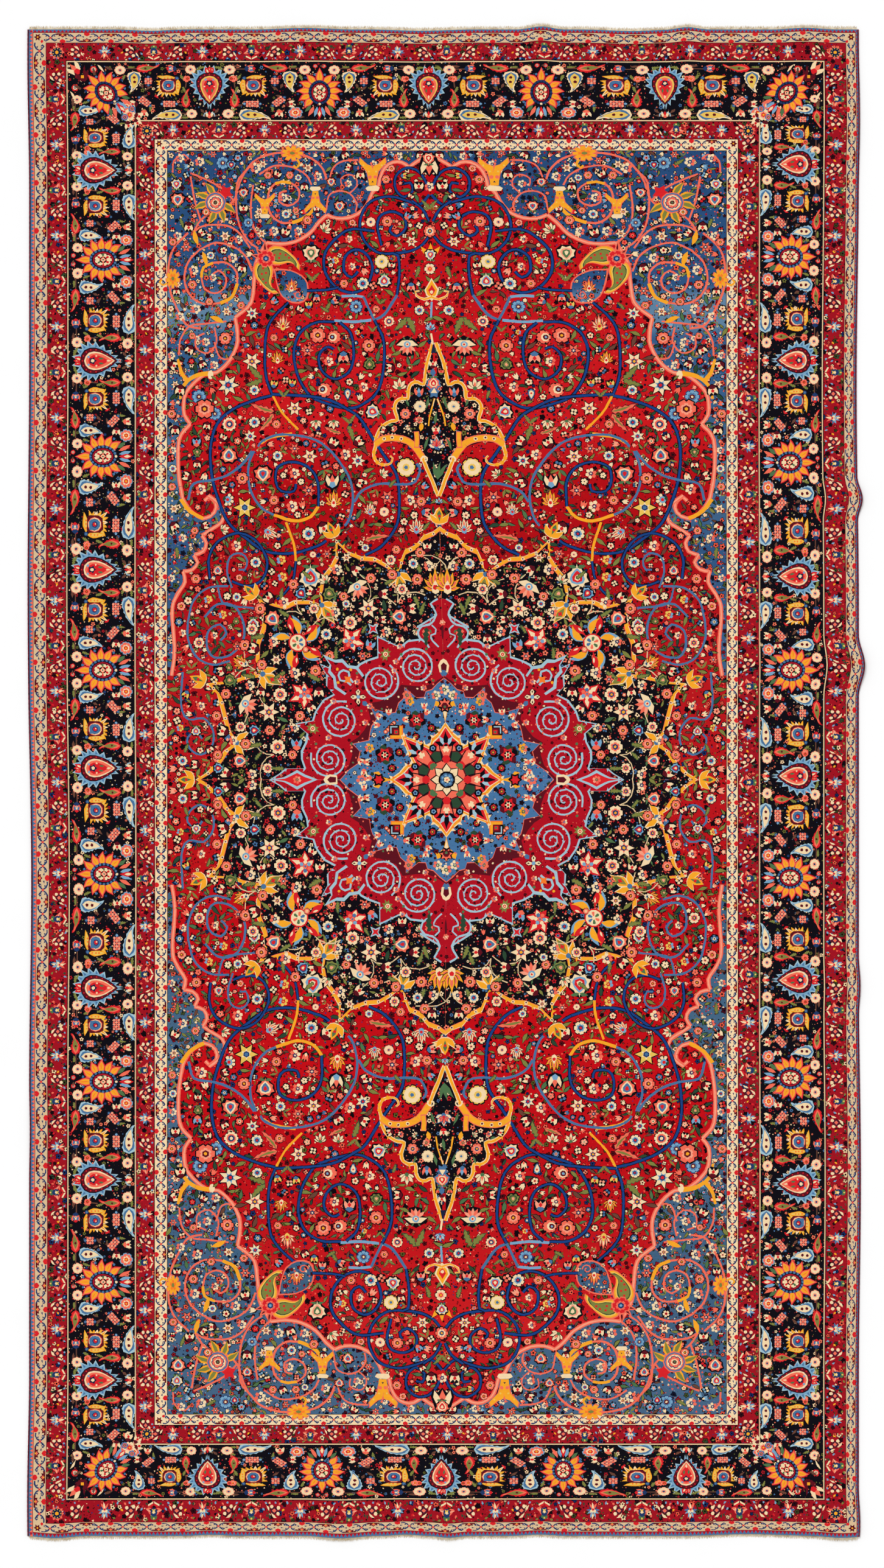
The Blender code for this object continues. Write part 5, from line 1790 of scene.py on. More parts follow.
Ripple = namedtuple("Ripple", "side at halfLength out lift reach")
ripples = (
    Ripple("left", 3.22, 0.60, 0.008, 0.000, 0.60),
    Ripple("left", 0.85, 1.00, 0.007, 0.000, 0.90),
    Ripple("left", -0.45, 0.90, -0.009, 0.000, 0.90),
    Ripple("left", -1.55, 0.22, -0.003, 0.004, 0.30),
    Ripple("left", -3.20, 0.60, 0.009, 0.000, 0.60),
    Ripple("right", 2.95, 0.35, 0.005, 0.003, 0.40),
    Ripple("right", 1.75, 1.00, -0.010, 0.000, 0.80),
    Ripple("right", 1.26, 0.10, 0.022, 0.010, 0.50),
    Ripple("right", 0.52, 0.14, 0.027, 0.014, 0.55),
    Ripple("right", -0.90, 0.14, 0.007, 0.007, 0.40),
    Ripple("right", -1.75, 0.90, 0.009, 0.000, 0.80),
    Ripple("right", -3.28, 0.16, 0.006, 0.004, 0.30),
    Ripple("top", -1.30, 0.16, -0.006, 0.000, 0.30),
    Ripple("top", -0.62, 0.22, 0.006, 0.004, 0.35),
    Ripple("top", -0.10, 0.24, -0.006, 0.000, 0.35),
    Ripple("top", 0.43, 0.10, 0.013, 0.008, 0.40),
    Ripple("top", 0.83, 0.22, -0.007, 0.000, 0.35),
    Ripple("top", 1.08, 0.09, 0.010, 0.007, 0.35),
    Ripple("top", 1.60, 0.14, 0.007, 0.004, 0.30),
    Ripple("bottom", -1.72, 0.14, 0.010, 0.003, 0.30),
    Ripple("bottom", -1.03, 0.12, -0.005, 0.000, 0.30),
    Ripple("bottom", -0.46, 0.16, 0.010, 0.006, 0.40),
    Ripple("bottom", -0.17, 0.10, -0.006, 0.000, 0.30),
    Ripple("bottom", 0.02, 0.09, 0.008, 0.006, 0.40),
    Ripple("bottom", 0.42, 0.12, -0.006, 0.000, 0.30),
    Ripple("bottom", 1.35, 0.30, -0.008, 0.000, 0.35),
    Ripple("bottom", 1.76, 0.14, 0.008, 0.005, 0.30),
)
outward = {"left": (-1, 0), "right": (1, 0), "top": (0, 1), "bottom": (0, -1)}


def rippleWeight(ripple, u, v):
    x, y = outward[ripple.side]
    along = v if x else u
    turn = np.clip((along - ripple.at) / ripple.halfLength, -1, 1)
    half = rug["width"] / 2 if x else rug["length"] / 2
    depth = np.clip((half - (u * x + v * y)) / ripple.reach, 0, 1)
    return 0.5 * (1 + np.cos(np.pi * turn)) * (1 - depth) ** 2


# Where points of the flat rug lie once its edges ripple.
def placed(u, v, height=0.0):
    u, v = np.asarray(u, float), np.asarray(v, float)
    x, y, z = u - rug["outlineMiddle"][0], v - rug["outlineMiddle"][1], u * 0 + height
    for ripple in ripples:
        weight = rippleWeight(ripple, u, v)
        x = x + outward[ripple.side][0] * ripple.out * weight
        y = y + outward[ripple.side][1] * ripple.out * weight
        z = z + ripple.lift * weight
    return np.stack([x, y, z], axis=-1)


def onFlat(z):
    return (z.real - rug["middle"][0]) * rug["knot"], (rug["middle"][1] - z.imag) * rug["knot"]


def addObject(name, data):
    added = bpy.data.objects.new(name, data)
    bpy.context.scene.collection.objects.link(added)
    return added


def newPiece(name, points, faces, material):
    mesh = bpy.data.meshes.new(name)
    mesh.from_pydata(points, [], faces)
    mesh.update()
    mesh.materials.append(material)
    piece = addObject(name, mesh)
    return piece


# A socket that can be added, multiplied and compared.
class Value:
    def __init__(self, dye, socket):
        self.dye = dye
        self.socket = socket

    def __add__(self, other):
        return self.dye.maths("ADD", self, other)

    def __mul__(self, other):
        return self.dye.maths("MULTIPLY", self, other)

    def __sub__(self, other):
        return self.dye.maths("SUBTRACT", self, other)

    def __rsub__(self, other):
        return self.dye.maths("SUBTRACT", other, self)

    def __truediv__(self, other):
        return self.dye.maths("DIVIDE", self, other)

    def __rtruediv__(self, other):
        return self.dye.maths("DIVIDE", other, self)

    __radd__ = __add__
    __rmul__ = __mul__

    def under(self, limit):
        return self.dye.maths("LESS_THAN", self, limit)

    def near(self, other, reach=0.05):
        return self.dye.maths("COMPARE", self, other, reach)

    def span(self, low, high):
        return self.dye.node("ShaderNodeMapRange", {"interpolation_type": "SMOOTHSTEP"},
                             {"Value": self, "From Min": low, "From Max": high})

    def output(self, name):
        return Value(self.dye, self.socket.node.outputs[name])


# One material, built node by node from the object's own coordinates.
class Dye:
    def __init__(self, name):
        self.material = bpy.data.materials.new(name)
        self.material.use_nodes = True
        self.tree = self.material.node_tree
        self.shader = self.tree.nodes["Principled BSDF"]
        self.place = self.node("ShaderNodeTexCoord", output="Object")

    def node(self, kind, settings=None, inputs=None, output=0):
        node = self.tree.nodes.new(kind)
        for key, value in (settings or {}).items():
            if key == "stops":
                self.fillRamp(node.color_ramp, value)
            else:
                setattr(node, key, value)
        for key, value in (inputs or {}).items():
            self.connect(node.inputs[key], value)
        return Value(self, node.outputs[output])

    def fillRamp(self, ramp, stops):
        while len(ramp.elements) > 1:
            ramp.elements.remove(ramp.elements[-1])
        for i, (place, colour) in enumerate(stops):
            element = ramp.elements[0] if i == 0 else ramp.elements.new(place)
            element.position = place
            element.color = linear(colour)

    def connect(self, socket, value):
        if isinstance(value, Value):
            self.tree.links.new(value.socket, socket)
        else:
            socket.default_value = value

    def maths(self, operation, *parts):
        return self.node("ShaderNodeMath", {"operation": operation}, dict(enumerate(parts)))

    def ramp(self, share, stops, stepped=False):
        found = self.node("ShaderNodeValToRGB", {"stops": stops}, {0: share})
        if stepped:
            found.socket.node.color_ramp.interpolation = "CONSTANT"
        return found

    def mix(self, first, second, factor):
        return self.node("ShaderNodeMix", {"data_type": "RGBA"}, {0: factor, 6: first, 7: second}, output=2)

    def stretched(self, x, y, z):
        return self.node("ShaderNodeVectorMath", {"operation": "MULTIPLY"}, {0: self.place, 1: (x, y, z)})

    def shaded(self, colour, amount):
        return self.node("ShaderNodeVectorMath", {"operation": "SCALE"}, {0: colour, 3: amount})

    def noise(self, place, size, detail=2.0, roughness=0.5):
        return self.node("ShaderNodeTexNoise", {}, {"Vector": place, "Scale": size, "Detail": detail,
                                                    "Roughness": roughness})

    def bump(self, height, strength, distance):
        inputs = {"Strength": strength, "Distance": distance, "Height": height}
        return self.node("ShaderNodeBump", {}, inputs)

    def finish(self, colour, roughness, bump, gloss, sheen=0.0):
        sockets = self.shader.inputs
        self.connect(sockets["Base Color"], colour)
        self.connect(sockets["Roughness"], roughness)
        self.connect(sockets["Normal"], bump)
        sockets["Specular IOR Level"].default_value = gloss
        sockets["Sheen Weight"].default_value = sheen
        return self.material


# A yarn's colour, given out of 255 as on a dye card, in the shader's own terms.
def linear(colour):
    shares = [c / 255 for c in colour]
    return [c / 12.92 if c < 0.04 else ((c + 0.055) / 1.055) ** 2.4 for c in shares] + [1.0]


# The pile's wool: dye lots that show as bands across the rug, each from its row of the drawing on,
# and filling flowers too small to draw, as rounds of petals with their least and most reach.
Round = namedtuple("Round", "cell petals least most rimmed")
wool = {
    "redLots": ((50, (192, 18, 25)), (300, (186, 11, 21)), (420, (192, 15, 24)), (560, (197, 20, 27)),
                (700, (201, 23, 29)), (800, (176, 11, 19)), (960, (172, 13, 21)), (1080, (184, 22, 28)),
                (1300, (182, 20, 27)), (1500, (190, 13, 21)), (1750, (194, 11, 21)), (1980, (186, 15, 23)),
                (2180, (200, 28, 32)), (2330, (184, 13, 23))),
    "blueLots": ((240, (38, 72, 116)), (470, (44, 82, 126)), (492, (96, 130, 160)), (538, (92, 126, 154)),
                 (552, (52, 90, 132)), (700, (56, 94, 132)), (760, (80, 114, 144)), (900, (48, 84, 126)),
                 (1100, (56, 94, 132)), (1500, (60, 94, 124)), (1800, (72, 104, 132)), (2100, (62, 94, 124)),
                 (2330, (70, 100, 130))),
    "wander": 0.07,
    "streak": 0.16,
    "mottle": 0.20,
    "knots": 0.20,
    "knotSize": 330.0,
    "mottleSize": 70.0,
    "grounds": {           # how much smaller the filling flowers are on each ground, and their yarns
        "field": (-0.02, ((0.0, (238, 200, 156)), (0.08, (236, 92, 70)), (0.24, (90, 92, 36)),
                          (0.44, (24, 46, 100)), (0.6, (84, 6, 16)), (0.84, (16, 6, 12)))),
        "spandrel": (-0.06, ((0.0, (238, 200, 156)), (0.16, (230, 88, 66)), (0.42, (150, 18, 32)),
                             (0.6, (66, 12, 28)), (0.76, (70, 82, 40)), (0.88, (14, 20, 44)))),
        "coal": (0.05, ((0.0, (236, 116, 88)), (0.3, (242, 206, 160)), (0.5, (170, 28, 38)),
                        (0.68, (104, 104, 48)), (0.88, (70, 108, 150)))),
        "guardRed": (-0.04, ((0.0, (240, 202, 156)), (0.14, (50, 8, 18)), (0.44, (232, 90, 66)),
                             (0.6, (60, 66, 30)), (0.76, (20, 44, 96)), (0.86, (16, 6, 12)))),
        "lake": (0.0, ((0.0, (238, 206, 176)), (0.14, (236, 96, 72)), (0.3, (100, 12, 26)),
                       (0.6, (30, 12, 20)), (0.8, (60, 70, 40)), (0.9, (24, 46, 100)))),
        "jet": (-0.03, ((0.0, (240, 120, 92)), (0.28, (242, 208, 164)), (0.5, (186, 26, 36)),
                        (0.72, (110, 106, 48)), (0.86, (70, 108, 150)))),
        "rose": (0.12, ((0.0, (96, 8, 22)), (0.5, (40, 6, 16)), (0.8, (236, 120, 92)))),
    },
    "rounds": (Round(0.0135, 3, -0.25, 0.30, False), Round(0.029, 5, -0.16, 0.34, True)),
    "edge": (12, 6, 12),
    "roughness": 0.86,
    "gloss": 0.04,
}
lotRows = (40, 2530)
# Grounds that the wool colours further are told apart by the alpha of their yarn; every other yarn has 1.
lotOf = {"field": 0.88, "spandrel": 0.76, "coal": 0.64, "guardRed": 0.52, "lake": 0.40, "rose": 0.28,
         "jet": 0.16}
bareBelow = 0.94


# Filling flowers, one to each cell of a ground: where their petals, rim and heart lie.
def filling(dye, row, less):
    flat = dye.stretched(1 / row.cell, 1 / row.cell, 0)
    distance = dye.node("ShaderNodeTexVoronoi", {"voronoi_dimensions": "2D"},
                        {"Vector": flat, "Scale": 1.0, "Randomness": 0.9})
    shade = dye.node("ShaderNodeSeparateColor", {}, {0: distance.output("Color")})
    away = dye.node("ShaderNodeVectorMath", {"operation": "SUBTRACT"},
                    {0: flat, 1: distance.output("Position")})
    x = dye.node("ShaderNodeSeparateXYZ", {}, {0: away})
    angle = dye.maths("ARCTAN2", x.output("Y"), x)
    lobes = dye.maths("COSINE", angle * row.petals + shade.output("Green") * 6.28)
    reach = row.least + (row.most - row.least) * shade.output("Blue") - less
    edge = reach * (1 + 0.22 * lobes)
    return shade, distance.under(edge), distance.under(edge + 0.10), distance.under(reach * 0.4)


def pileWool():
    dye = Dye("pileWool")
    along = dye.node("ShaderNodeSeparateXYZ", {}, {0: dye.place}, output="Y")
    yarn = dye.node("ShaderNodeVertexColor", {"layer_name": "yarn"})
    ground = {name: yarn.output("Alpha").near(code) for name, code in lotOf.items()}
    bare = yarn.output("Alpha").under(bareBelow)
    wander = dye.noise(dye.stretched(0.9, 3.0, 1), 1.0, 3.0) - 0.5
    first, last = lotRows
    share = (rug["middle"][1] - (along + wander * wool["wander"]) / rug["knot"] - first) / (last - first)
    colour = yarn
    for name, lots in (("field", "redLots"), ("spandrel", "blueLots")):
        stops = [((at - first) / (last - first), tint) for at, tint in wool[lots]]
        colour = dye.mix(colour, dye.ramp(share, stops), ground[name])
    less = 0
    for name, (amount, _) in wool["grounds"].items():
        less = ground[name] * amount + less
    dark = linear(wool["edge"])
    for row in wool["rounds"]:
        shade, petal, rim, heart = filling(dye, row, less)
        dyed = colour
        for name, (_, stops) in wool["grounds"].items():
            dyed = dye.mix(dyed, dye.ramp(shade, stops, stepped=True), ground[name])
        for tint, mask, shown in ((dark, rim, row.rimmed), (dyed, petal, True), (dark, heart, row.rimmed)):
            if shown:
                colour = dye.mix(colour, tint, mask * bare)
    streak = dye.noise(dye.stretched(7, 130, 1), 1.0, 2.0) - 0.5
    mottle = dye.noise(dye.place, wool["mottleSize"], 3.0, 0.6) - 0.5
    knots = dye.noise(dye.place, wool["knotSize"], 2.0, 0.6) - 0.5
    amount = 1 + streak * wool["streak"] + mottle * wool["mottle"] + knots * wool["knots"]
    bump = dye.bump(knots + 0.5 * mottle + 0.5 * streak, 0.35, 0.003)
    return dye.finish(dye.shaded(colour, amount), wool["roughness"] + mottle * 0.15, bump, wool["gloss"])


# The pile, knotted in tiles that meet edge to edge.
tiles = {
    "columns": 4,
    "rows": 4,
    "openGrid": 0.03,      # spacing of the plain points that let the sheet follow its ripples
    "longEdge": 0.03,      # a longer drawn edge is cut, so that it ripples too
    "uneven": 0.35,        # how far a knotted outline wanders, in squares of the drawing
    "seed": 41,
    "groundHeight": 0.004,
    "paintCell": 0.012,    # places are sorted into cells of this size
    "shortEdge": 0.0009,   # points nearer than this become one
    "hardlyBent": 0.00055,
    "onRim": 2e-6,
    "past": 0.01,          # how far a long outline runs past the tile's rim
}


def cutEdges(outline):
    cut = []
    for p, q in zip(outline, outline[1:] + outline[:1]):
        pieces = max(1, math.ceil(math.dist(p, q) / tiles["longEdge"]))
        for i in range(pieces):
            cut.append((p[0] + (q[0] - p[0]) * i / pieces, p[1] + (q[1] - p[1]) * i / pieces))
    return cut


def openGrid(box):
    left, bottom, right, top = box
    across = max(1, round((right - left) / tiles["openGrid"]))
    down = max(1, round((top - bottom) / tiles["openGrid"]))
    return [(left + (right - left) * i / across, bottom + (top - bottom) * j / down)
            for i in range(1, across) for j in range(1, down)]


def triangulated(points, edges, box):
    left, bottom, right, top = box
    flat, _, triangles, *_ = delaunay_2d_cdt([Vector(p) for p in points], edges, [], 0, 1e-6)
    flat = np.array([tuple(p) for p in flat])
    triangles = np.array(triangles)
    middles = flat[triangles].mean(axis=1)
    within = ((middles > (left, bottom)) & (middles < (right, top))).all(axis=1)
    return flat, triangles[within], middles[within]


def covers(outline, places):
    ends = np.roll(outline, -1, axis=0)
    x, y = places[:, 0], places[:, 1]
    x0, y0, x1, y1 = outline[:, :1], outline[:, 1:], ends[:, :1], ends[:, 1:]
    upward = (y0 <= y) & (y1 > y)
    downward = (y0 > y) & (y1 <= y)
    side = (x1 - x0) * (y - y0) - (x - x0) * (y1 - y0)
    return ((upward & (side > 0)).sum(axis=0) - (downward & (side < 0)).sum(axis=0)) != 0


# The last drawn shape over each place, found shape by shape among the places sorted into cells.
def topShape(outlines, places, box):
    left, bottom, right, top = box
    cell = tiles["paintCell"]
    columns, rows = int((right - left) / cell) + 1, int((top - bottom) / cell) + 1
    column = np.clip(((places[:, 0] - left) / cell).astype(int), 0, columns - 1)
    row = np.clip(((places[:, 1] - bottom) / cell).astype(int), 0, rows - 1)
    cells = row * columns + column
    order = np.argsort(cells, kind="stable")
    starts = np.searchsorted(cells[order], np.arange(rows * columns + 1))
    sortedPlaces = places[order]
    last = np.zeros(len(places), int)
    for number, outline in enumerate(outlines):
        low = ((outline.min(axis=0) - (left, bottom)) / cell).astype(int)
        high = ((outline.max(axis=0) - (left, bottom)) / cell).astype(int)
        start, stop = max(low[0], 0), min(high[0], columns - 1)
        for j in range(max(low[1], 0), min(high[1], rows - 1) + 1):
            run = slice(starts[j * columns + start], starts[j * columns + stop + 1])
            if run.stop > run.start:
                last[run][covers(outline, sortedPlaces[run])] = number
    found = np.zeros(len(places), int)
    found[order] = last
    return found


# Only the outlines that show stay: an edge goes if it has one yarn on both sides.
def shownEdges(triangles, colour):
    edges = np.concatenate([triangles[:, [0, 1]], triangles[:, [1, 2]], triangles[:, [2, 0]]])
    edges.sort(axis=1)
    colours = np.concatenate([colour, colour, colour])
    order = np.lexsort((edges[:, 1], edges[:, 0]))
    edges, colours = edges[order], colours[order]
    same = (edges[1:] == edges[:-1]).all(axis=1)
    hidden = same & (colours[1:] == colours[:-1])
    first = np.concatenate([[True], ~same])
    drop = np.zeros(len(edges), bool)
    drop[:-1] |= hidden
    drop[1:] |= hidden
    return edges[first & ~drop]


# Points that hardly bend an outline go, and points that almost touch become one.
def straightened(flat, edges, box):
    left, bottom, right, top = box
    places = [complex(u, v) for u, v in flat]
    near = {}
    for a, b in edges.tolist():
        near.setdefault(a, set()).add(b)
        near.setdefault(b, set()).add(a)

    def onRim(z):
        return min(z.real - left, right - z.real, z.imag - bottom, top - z.imag) < tiles["onRim"]

    def replace(old, new):
        for other in near.pop(old):
            near[other].discard(old)
            if other != new:
                near[other].add(new)
                near[new].add(other)
    for a in list(near):
        for b in list(near.get(a, ())):
            if a in near and b in near and abs(places[a] - places[b]) < tiles["shortEdge"]:
                if not onRim(places[b]) and len(near[a] & near[b]) < 3:
                    replace(b, a)
    for v in list(near):
        if len(near[v]) != 2:
            continue
        a, b = near[v]
        run = places[b] - places[a]
        if b in near[a] or not 0 < abs(run) < tiles["longEdge"]:
            continue
        if onRim(places[v]) and not (onRim(places[a]) and onRim(places[b])):
            continue
        if abs(((places[v] - places[a]) * run.conjugate()).imag) / abs(run) < tiles["hardlyBent"]:
            replace(v, a)
    kept = [v for v in near if near[v]]
    number = {v: i for i, v in enumerate(kept)}
    return ([(places[v].real, places[v].imag) for v in kept],
            [(number[a], number[b]) for a in kept for b in near[a] if a < b])


def tileMesh(shapes, box):
    left, bottom, right, top = box
    past = tiles["past"]
    points, edges, outlines, colours = [], [], [], []
    frameOf = [(left, bottom), (right, bottom), (right, top), (left, top)]
    for yarn, outline, (low, high) in [(0, frameOf, ((left, bottom), (right, top)))] + shapes:
        if low[0] > right or high[0] < left or low[1] > top or high[1] < bottom:
            continue
        if high[0] - low[0] > 1 or high[1] - low[1] > 1:
            outline = [(min(max(u, left - past), right + past), min(max(v, bottom - past), top + past))
                       for u, v in outline]
        cut = cutEdges(outline)
        start, count = len(points), len(cut)
        points += cut
        edges += [(start + i, start + (i + 1) % count) for i in range(count)]
        outlines.append(np.array(outline))
        colours.append(yarn)
    colours = np.array(colours)
    flat, triangles, middles = triangulated(points, edges, box)
    colour = colours[topShape(outlines, middles, box)]
    kept = shownEdges(triangles, colour)
    points, edges = straightened(flat, kept, box)
    flat, triangles, middles = triangulated(points + openGrid(box), edges, box)
    return flat, triangles, colours[topShape(outlines, middles, box)]


def buildTile(name, shapes, box, material):
    left, bottom, right, top = box
    flat, triangles, colour = tileMesh(shapes, box)
    used, faces = np.unique(triangles, return_inverse=True)
    faces = faces.reshape(-1, 3)
    flat = flat[used]
    points = placed(flat[:, 0], flat[:, 1], rug["thickness"])
    inside = np.minimum(flat - (left, bottom), (right, top) - flat).min(axis=1)
    rim = np.nonzero(inside < tiles["onRim"])[0]
    across, up = ((flat[rim] - (left, bottom)) / (right - left, top - bottom) - 0.5).T
    rim = rim[np.argsort(np.arctan2(up, across))]
    lowPoints, lowFaces = closeBelow(flat[rim], rim, len(points), box)
    points = np.concatenate([points, lowPoints])
    faces = [tuple(f) for f in faces.tolist()] + lowFaces
    piece = newPiece(name, points.tolist(), faces, material)
    table = np.array([[*(c / 255 for c in yarns[yarn]), lotOf.get(yarn, 1.0)] for yarn in yarns])
    colour = np.concatenate([colour, np.zeros(len(lowFaces), int)])
    layer = piece.data.color_attributes.new("yarn", "BYTE_COLOR", "CORNER")
    layer.data.foreach_set("color_srgb", np.repeat(table[colour], 3, axis=0).ravel())
    return piece


# The tile's walls and underside, just above the woven ground.
def closeBelow(rimPlaces, rim, base, box):
    count = len(rim)
    spots = [Vector(p) for p in rimPlaces] + [Vector(p) for p in openGrid(box)[::3]]
    border = [(i, (i + 1) % count) for i in range(count)]
    flat, _, triangles, *_ = delaunay_2d_cdt(spots, border, [], 0, 1e-8)
    flat = np.array([tuple(p) for p in flat])
    faces = [tuple(base + i for i in reversed(t)) for t in triangles]
    for a, b in border:
        faces.append((int(rim[a]), base + a, base + b))
        faces.append((int(rim[a]), base + b, int(rim[b])))
    return placed(flat[:, 0], flat[:, 1], tiles["groundHeight"]), faces


def buildPile(material):
    dice = random.Random(tiles["seed"])
    numberOf = {yarn: i for i, yarn in enumerate(yarns)}
    shapes = []
    for yarn, outline in drawAll():
        loose = tiles["uneven"] if len(outline) > 4 else 0.0
        spots = [onFlat(z + loose * complex(dice.uniform(-1, 1), dice.uniform(-1, 1))) for z in outline]
        us, vs = [u for u, v in spots], [v for u, v in spots]
        shapes.append((numberOf[yarn], spots, ((min(us), min(vs)), (max(us), max(vs)))))
    print("drawn", len(shapes), "shapes with", sum(len(s[1]) for s in shapes), "points")
    pieces = []
    across, down = rug["width"] / tiles["columns"], rug["length"] / tiles["rows"]
    total = 0
    for row in range(tiles["rows"]):
        for column in range(tiles["columns"]):
            left = -rug["width"] / 2 + column * across
            bottom = rug["length"] / 2 - (row + 1) * down
            box = (left, bottom, left + across, bottom + down)
            piece = buildTile(f"pile_{row + 1}_{column + 1}", shapes, box, material)
            pieces.append(piece)
            total += len(piece.data.polygons)
        print("pile row", row + 1, "knotted,", total, "faces so far")
    return pieces


# The woven ground under the tiles.
weave = {
    "step": 0.05,
    "gap": 0.0004,         # below the tiles
    "red": (150, 44, 46),
    "cotton": (196, 176, 142),
    "fleck": (52, 62, 92),
    "gloss": 0.15,
}


def groundCotton():
    dye = Dye("groundCotton")
    rows = dye.node("ShaderNodeTexWave", {"bands_direction": "Y"},
                    {"Vector": dye.place, "Scale": 55.0, "Distortion": 0.8, "Detail": 1.0})
    columns = dye.node("ShaderNodeTexWave", {"bands_direction": "X"},
                       {"Vector": dye.place, "Scale": 80.0, "Distortion": 0.6, "Detail": 1.0})
    fleck = dye.noise(dye.place, 24.0, 4.0, 0.7)
    colour = dye.mix(linear(weave["red"]), linear(weave["cotton"]), rows.span(0.35, 0.75))
    colour = dye.mix(colour, linear(weave["fleck"]), fleck.span(0.56, 0.66))
    bump = dye.bump(rows + columns, 0.5, 0.002)
    return dye.finish(dye.shaded(colour, 0.8 + 0.3 * columns), 0.9 + 0.05 * columns, bump, weave["gloss"])


def buildGround():
    across, down = round(rug["width"] / weave["step"]), round(rug["length"] / weave["step"])
    points, faces = [], []
    for height in (0.0, tiles["groundHeight"] - weave["gap"]):
        v, u = np.mgrid[0:down + 1, 0:across + 1]
        spread = placed(rug["width"] * (u / across - 0.5), rug["length"] * (v / down - 0.5), height)
        points += spread.reshape(-1, 3).tolist()
    layer = (across + 1) * (down + 1)

    def at(i, j, level):
        return level * layer + j * (across + 1) + i
    for j in range(down):
        for i in range(across):
            faces.append([at(i, j, 1), at(i + 1, j, 1), at(i + 1, j + 1, 1), at(i, j + 1, 1)])
            faces.append([at(i, j, 0), at(i, j + 1, 0), at(i + 1, j + 1, 0), at(i + 1, j, 0)])
    rim = [(i, 0) for i in range(across)] + [(across, j) for j in range(down)]
    rim += [(across - i, down - j) for i, j in rim]
    for (i, j), (m, n) in zip(rim, rim[1:] + rim[:1]):
        faces.append([at(i, j, 0), at(m, n, 0), at(m, n, 1), at(i, j, 1)])
    return newPiece("pile_ground", points, faces, groundCotton())


# The overcast side cords.
cord = {
    "radius": 0.0039,
    "step": 0.011,
    "bead": 0.10,        # how much each wrap of yarn stands out
    "pressed": 0.98,
    "sides": 8,
    "lengths": 4,
    "dark": (74, 18, 34),
    "light": (122, 30, 52),
    "gloss": 0.2,
    "sheen": 0.15,
}


def cordWool():
    dye = Dye("cordWool")
    shade = dye.noise(dye.stretched(20, 60, 20), 1.0, 3.0, 0.6)
    strands = dye.noise(dye.stretched(200, 900, 200), 1.0, 2.0)
    colour = dye.mix(linear(cord["dark"]), linear(cord["light"]), shade.span(0.3, 0.7))
    bump = dye.bump(strands, 0.4, 0.001)
    return dye.finish(dye.shaded(colour, 0.8 + 0.4 * strands), 0.8 + 0.1 * shade, bump, cord["gloss"],
                      cord["sheen"])


def buildCord(name, side, start, stop, material):
    way = outward[side][0]
    count = round((stop - start) / cord["step"])
    points, faces = [], []
    sides = cord["sides"]
    for k in range(count + 1):
        v = start + (stop - start) * k / count
        x, y, z = placed(way * rug["width"] / 2, v).tolist()
        radius = cord["radius"] * (1 - cord["bead"] * (k % 2)) * cord["pressed"]
        for i in range(sides):
            angle = 2 * math.pi * (i + 0.5 * (k % 2)) / sides
            points.append((x + way * (rug["seam"] + cord["radius"] + radius * math.cos(angle)), y,
                           z + cord["radius"] + radius * math.sin(angle)))
    for k in range(count):
        for i in range(sides):
            a, b = k * sides + i, k * sides + (i + 1) % sides
            c, d = a + sides, b + sides
            if k % 2:
                faces += [[a, b, d], [a, d, c]]
            else:
                faces += [[a, b, c], [b, d, c]]
    faces.append(list(range(sides))[::-1])
    faces.append([count * sides + i for i in range(sides)])
    if way < 0:
        faces = [face[::-1] for face in faces]
    piece = newPiece(name, points, faces, material)
    piece.data.shade_smooth()
    return piece


# The ends: a narrow flat weave, then short frayed warps.
fringe = {
    "weaveDepth": 0.0056,
    "weaveHeight": 0.0022,
    "weaveStep": 0.012,
    "weaveUneven": 0.0005,
    "foot": 0.0001,        # above the floor
    "pitch": 0.0052,
    "length": 0.0115,
    "unevenness": 0.004,
    "apart": 0.0006,       # two warps fray side by side
    "lean": 0.0008,
    "drift": 0.003,
    "lift": (0.0008, 0.0016),
    "thread": 0.0009,
    "seed": 23,
    "parts": 2,
    "dark": (196, 170, 126),
    "light": (238, 224, 194),
    "gloss": 0.2,
    "sheen": 0.1,
}


def warpCotton():
    dye = Dye("warpCotton")
    shade = dye.noise(dye.place, 45.0, 3.0, 0.6)
    twist = dye.noise(dye.stretched(700, 250, 250), 1.0, 1.0)
    colour = dye.mix(linear(fringe["dark"]), linear(fringe["light"]), shade.span(0.25, 0.7))
    bump = dye.bump(twist, 0.4, 0.0006)
    return dye.finish(dye.shaded(colour, 0.85 + 0.3 * twist), 0.88 + 0.08 * shade, bump, fringe["gloss"],
                      fringe["sheen"])


